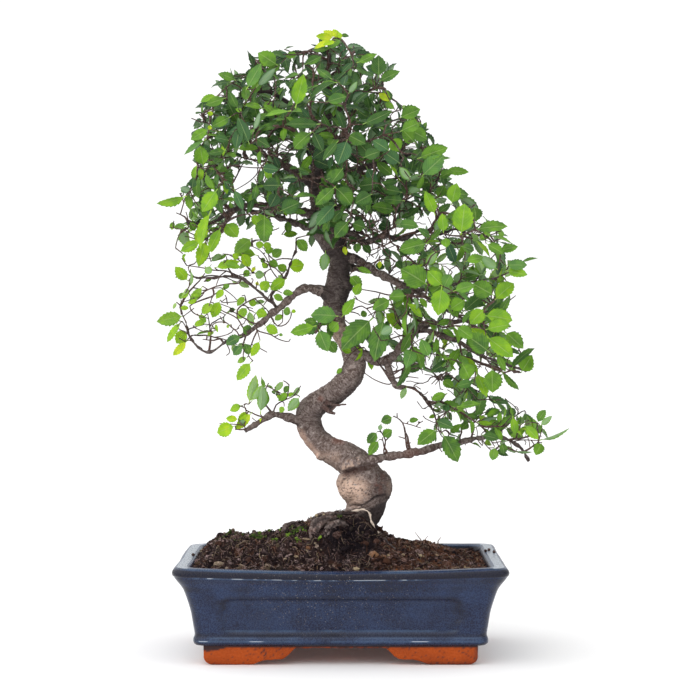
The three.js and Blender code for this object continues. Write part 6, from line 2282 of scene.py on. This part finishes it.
def growTwigs():
    rng = random.Random(growth["seed"])
    upper = trunkLimb[0][trunkLimb[0][:, 2] > seen(0, 350)[2]]
    addWood(upper, "trunk", None)
    for name, limbs in branchLimbs.items():
        for places, _ in limbs:
            addWood(places[len(places) // 6:], name, None)
    growFrameTwigs(rng)
    growDrawnTwigs(rng)
    tips = drawnBlades(rng)
    for region in foliage.values():
        for tip in scatter(region["outline"], region["spacing"], region["reach"], 400, rng):
            tips.append((tip, region, None))
    tips.sort(key=lambda row: np.linalg.norm(wood["places"] - row[0], axis=1).min())
    for tip, region, blade in tips:
        i = startFor(tip)
        if blade:
            growFrom(i, tip, region, 9, "bladed", rng, blade, 0.15)
        else:
            growFrom(i, tip, region, rng.uniform(*region["leaf"]), "fill", rng)
    for outline, spacing, reach, limit in tangles:
        places = scatter(outline, spacing, reach, limit, rng)
        for tip in sorted(places, key=lambda place: np.linalg.norm(wood["places"] - place, axis=1).min()):
            growFrom(startFor(tip), tip, foliage["right"], 8, "bare", rng, zigzag=0.7)
    sideShoots(rng)
    for stem in reversed(stems):
        if stem["carries"] is not None:
            stem["carries"]["weight"] += stem["weight"]
    print(len(stems), "stems,", len(tips), "of them with leaves")


def sideShoots(rng):
    for stem in list(stems):
        path = stem["path"]
        if stem["kind"] not in ("twig", "fill") or len(path) < 5 or stem["region"] is foliage["left"]:
            continue
        for _ in range(rng.choice((0, 1, 1, 2))):
            i = rng.randrange(len(path) // 3, len(path) - 1)
            forward = unit(path[-1] - path[0])
            aside = unit(np.cross(forward, [rng.gauss(0, 1), rng.gauss(0, 1), rng.gauss(0, 1)]))
            tip = path[i] + unit(forward * 0.8 + aside + up * 0.3) * rng.uniform(6, 12) * mm
            if regionAt(*pixelOf(tip)) is None:
                continue
            shoot = bowedPath(path[i], forward, tip, rng)
            addStem(stem["owner"], shoot, stem, stem["region"], stem["leaf"] * 0.88, "shoot")


growTwigs()


# Leaves. The blade is modelled once on a grid: u from stalk to tip, v from edge to edge, with a tooth on
# each stretch of its edge; each copy is then bent its own way.
leafShape = {
    "rows": 6,
    "columns": (-1.0, -0.5, 0.0, 0.5, 1.0),
    "thickness": 0.02,
    "stalk": 0.12,
    "lowPower": 0.72,
    "highPower": 0.92,
    "widest": 0.325,
}


def bladeTemplate():
    rows, columns = leafShape["rows"], leafShape["columns"]
    points, sides, faces, grid = [(0.0, 0.0)], [0], [], []
    for row in range(rows):
        u = (row + 0.8) / (rows + 0.75)
        grid.append(list(range(len(points), len(points) + len(columns))))
        points += [(u, v * (0.94 if abs(v) == 1 else 1)) for v in columns]
    tip = len(points)
    points.append((1.0, 0.0))
    teeth = {}
    for row in range(rows - 1):
        for v in (-1.0, 1.0):
            teeth[row, v] = len(points)
            points.append(((row + 0.8 + 0.82) / (rows + 0.75), v * 1.12))
    for i in range(4):
        faces.append((0, grid[0][i + 1], grid[0][i]))
        faces.append((tip, grid[-1][i], grid[-1][i + 1]))
    for row in range(rows - 1):
        below, above = grid[row], grid[row + 1]
        faces.append((below[0], below[1], above[1], above[0], teeth[row, -1.0]))
        faces.append((below[1], below[2], above[2], above[1]))
        faces.append((below[2], below[3], above[3], above[2]))
        faces.append((below[3], below[4], teeth[row, 1.0], above[4], above[3]))
    # The underside shares the rim, and has middle points of its own
    sides = [0] * len(points)
    under = {}
    for ids in grid:
        for i in ids[1:4]:
            under[i] = len(points)
            points.append(points[i])
            sides.append(1)
    lower = [tuple(under.get(i, i) for i in reversed(face)) for face in faces]
    return np.array(points), np.array(sides), faces, lower


bladePoints, bladeSides, bladeTop, bladeUnder = bladeTemplate()


def halfWidth(u):
    low, high = np.clip(u, 0, 1) ** leafShape["lowPower"], np.clip(1 - u, 0, 1) ** leafShape["highPower"]
    return low * high / leafShape["widest"]


# One leaf's points: folded along its midrib, its edges waved, its length bent down
def bentBlade(length, width, fold, bend, twist, wave, phase):
    u, v = bladePoints.T
    half = halfWidth(u) * width / 2 * np.where(v > 0, 1.06, 0.94)
    y = v * half * math.cos(fold)
    middle = np.where((np.abs(v) > 0.9) | (u <= 0) | (u >= 1), 0, 1) * (1 - np.abs(v) * 0.4)
    z = np.abs(v) * half * math.sin(fold) + wave * length * np.abs(v) * np.sin(u * 7 + phase + np.sign(v))
    z = z + np.where(bladeSides == 1, -0.5, 0.5) * leafShape["thickness"] * length * middle
    bend = bend if abs(bend) > 1e-3 else 1e-3
    angle = bend * u
    x, drop = np.sin(angle) / bend * length, (1 - np.cos(angle)) / bend * length
    x, z = x + z * np.sin(angle), z * np.cos(angle) - drop
    turn = twist * u
    return np.c_[x, y * np.cos(turn) - z * np.sin(turn), y * np.sin(turn) + z * np.cos(turn)]


leaves = {}  # piece name to its leaves


def placeLeaf(owner, base, direction, normal, length, width, tone, bent, rng):
    x = unit(direction)
    y = unit(np.cross(normal, x))
    z = np.cross(x, y)
    stalk = leafShape["stalk"] * length
    blade = bentBlade(length, width, *bent)
    places = base + x * stalk + blade @ np.array([x, y, z])
    stalkPlaces = []
    for end, radius in ((base, 0.026), (base + x * stalk * 1.2, 0.018)):
        for k in range(3):
            turn = k * 2 * math.pi / 3
            stalkPlaces.append(end + (y * math.cos(turn) + z * math.sin(turn)) * radius * length)
    leaves.setdefault(owner, []).append((places, np.array(stalkPlaces), tone, rng.random()))


# Leaves that the builder did not draw: kept within the outlines and off the drawn leaves
def addLeaf(owner, base, direction, normal, length, tone, rng):
    x = unit(direction)
    middle = base + x * 0.6 * length
    across, down = pixelOf(middle)
    if regionAt(across, down) is None or any(insideOutline(gap, across, down) for gap in gaps):
        return
    if abs(middle[1] - potMiddle.y) > growth["margin"]:
        return
    inWindow = any(insideOutline(window, across, down) for window in windows)
    if inWindow and middle[1] < potMiddle.y + 12 * mm:
        return
    apart = np.hypot(bladeCentres[:, 0] - across, bladeCentres[:, 1] - down)
    if ((apart < bladeCentres[:, 3] * 0.5 + 6) & (middle[1] < bladeCentres[:, 2] + 4 * mm)).any():
        return
    bent = (
        rng.uniform(0.1, 0.5), rng.uniform(-0.2, 0.85), rng.uniform(-0.5, 0.5), rng.uniform(0.0, 0.04),
        rng.uniform(0, 6),
    )
    placeLeaf(owner, base, direction, normal, length, length * rng.uniform(0.38, 0.54), tone, bent, rng)


# A drawn leaf keeps its outline in the picture: a narrow one is turned about its own length
def addDrawnLeaf(stem, rng):
    blade = stem["blade"]
    direction = blade["tip"] - blade["base"]
    full = np.linalg.norm(direction)
    length = 1.07 * full / (1 + leafShape["stalk"])
    seenWidth = 1.1 * blade["width"]
    width = max(seenWidth, 0.38 * length)
    turn = math.acos(min(1, seenWidth / width)) * rng.choice((-1, 1))
    forward = unit(direction)
    facing = np.array([0, -1.0, 0.25])
    facing = unit(facing - forward * facing.dot(forward))
    aside = np.cross(forward, facing)
    normal = facing * math.cos(turn) + aside * math.sin(turn)
    if blade["tone"] < 0:
        normal = -normal
    bent = (
        rng.uniform(0.15, 0.5), rng.uniform(-0.15, 0.5), rng.uniform(-0.35, 0.35), rng.uniform(0, 0.035),
        rng.uniform(0, 6),
    )
    placeLeaf(stem["owner"], blade["base"], direction, normal, length, width, abs(blade["tone"]), bent, rng)


# A leaf faces up and out of the foliage, and to whichever side, front or back, it is on
def leafNormal(place, rng):
    out = place - seen(345, 240)
    out[2] *= 0.4
    toFront = -1.0 if place[1] < potMiddle.y + 14 * mm else 1.0
    chance = np.array([rng.gauss(0, 1), rng.gauss(0, 1), rng.gauss(0, 1)])
    return unit(unit(out) * 0.45 + up * 0.55 + np.array([0, toFront * 0.4, 0]) + chance * 0.5)


def leafTone(place, region, rng):
    across, down = pixelOf(place)
    tone = region["tone"]
    if region is foliage["crown"]:
        # Painted light: lighter at the crown's left and right ends. Lighter towards its bottom too.
        tone += 0.32 * smooth(240, 185, across) * smooth(90, 170, down) + 0.16 * smooth(390, 440, across)
        tone += 0.10 * smooth(195, 235, down)
    # Random variation, and painted shade: leaves near the middle depth of the foliage are darker
    tone += rng.gauss(0, 0.14) - 0.15 * smooth(32 * mm, 6 * mm, abs(place[1] - potMiddle.y))
    if rng.random() < 0.04:
        tone += 0.28
    return float(np.clip(tone, 0.02, 0.84))


def leafStem(stem, rng):
    if stem["blade"]:
        addDrawnLeaf(stem, rng)
    if stem["kind"] in ("bare", "drawn", "bladed"):
        return
    path = stem["path"]
    lengths = np.r_[0, np.cumsum(np.linalg.norm(np.diff(path, axis=0), axis=1))]
    total = lengths[-1]
    leaf = stem["leaf"] * mm
    spacing = max(0.34 * leaf, 2.8 * mm)
    count = int(min(total * (0.55 if total > 22 * mm else 0.8) / spacing, 6)) + 1
    if stem["region"] is foliage["left"]:
        count = min(count, 2)
    for i in range(count):
        distance = total - i * spacing
        base = np.array([np.interp(distance, lengths, path[:, axis]) for axis in range(3)])
        ahead = np.array([np.interp(distance + 2 * mm, lengths, path[:, axis]) for axis in range(3)])
        back = np.array([np.interp(distance - 2 * mm, lengths, path[:, axis]) for axis in range(3)])
        forward = unit(ahead - back)
        normal = leafNormal(base, rng)
        side = unit(np.cross(forward, normal)) * (-1) ** i
        spreadOut = 0.15 if i == 0 else rng.uniform(0.7, 1.3)
        direction = unit(forward * 0.75 + side * spreadOut + up * rng.uniform(-0.4, 0.15))
        size = leaf * (1 - 0.35 * i / count) * rng.uniform(0.78, 1.15)
        addLeaf(stem["owner"], base, direction, normal, size, leafTone(base, stem["region"], rng), rng)


def makeLeafPiece(name, nodes):
    limbs = []
    for stem in stems:
        if stem["owner"] == name:
            path = stem["path"]
            base = stem["radius"] or growth["stemBase"] * stem["weight"] ** 0.42
            limbs.append((path, np.linspace(max(base, growth["stemTip"]), growth["stemTip"], len(path))))
    stemsObject = limbsObject(name, limbs, 1)
    stemsObject.data.materials.clear()
    stemsObject.data.materials.append(youngMaterial)
    rows = leaves.get(name, [])
    if not rows:
        return finish(settle(stemsObject, name), "leaves", *nodes)
    pointCount, stalkCount = len(bladePoints), 6
    places, faces, tones, maps = [], [], [], []
    start = 0
    stalkFaces = [(0, 1, 4, 3), (1, 2, 5, 4), (2, 0, 3, 5), (2, 1, 0), (3, 4, 5)]
    corners = [i for face in bladeTop + bladeUnder for i in face]
    bladeMap = [(bladePoints[i][0], bladePoints[i][1] / 2 + 0.5) for i in corners]
    for blade, stalk, tone, chance in rows:
        places += [blade, stalk]
        faces += [tuple(start + i for i in face) for face in bladeTop + bladeUnder]
        faces += [tuple(start + pointCount + i for i in face) for face in stalkFaces]
        tones.append(np.c_[np.full(pointCount, tone), bladeSides, np.full(pointCount, chance)])
        tones.append(np.tile([min(tone + 0.2, 0.8), 0, 0.2], (stalkCount, 1)))
        maps += bladeMap + [(0.05, 0.5)] * sum(len(face) for face in stalkFaces)
        start += pointCount + stalkCount
    foliageObject = meshOf(name + "_blades", np.concatenate(places), faces)
    storeColour(foliageObject, "leafTone", np.concatenate(tones))
    layer = foliageObject.data.uv_layers.new(name="leafMap")
    layer.data.foreach_set("uv", np.array(maps, np.float32).ravel())
    foliageObject.data.materials.append(leafMaterial)
    piece = joined([foliageObject, stemsObject], name)
    return finish(piece, "leaves", *nodes, angle=50)


blades = [stem["blade"] for stem in stems if stem["blade"]]
bladeCentres = np.array([[*blade["centre"], blade["base"][1], blade["reach"]] for blade in blades])
leafRandom = random.Random(growth["seed"] + 1)
for stem in stems:
    leafStem(stem, leafRandom)
for owner in sorted({stem["owner"] for stem in stems}):
    makeLeafPiece(owner, ["twig_" + owner[len("leafy_"):]] if owner.startswith("leafy_") else [])
print(sum(len(rows) for rows in leaves.values()), "leaves made")
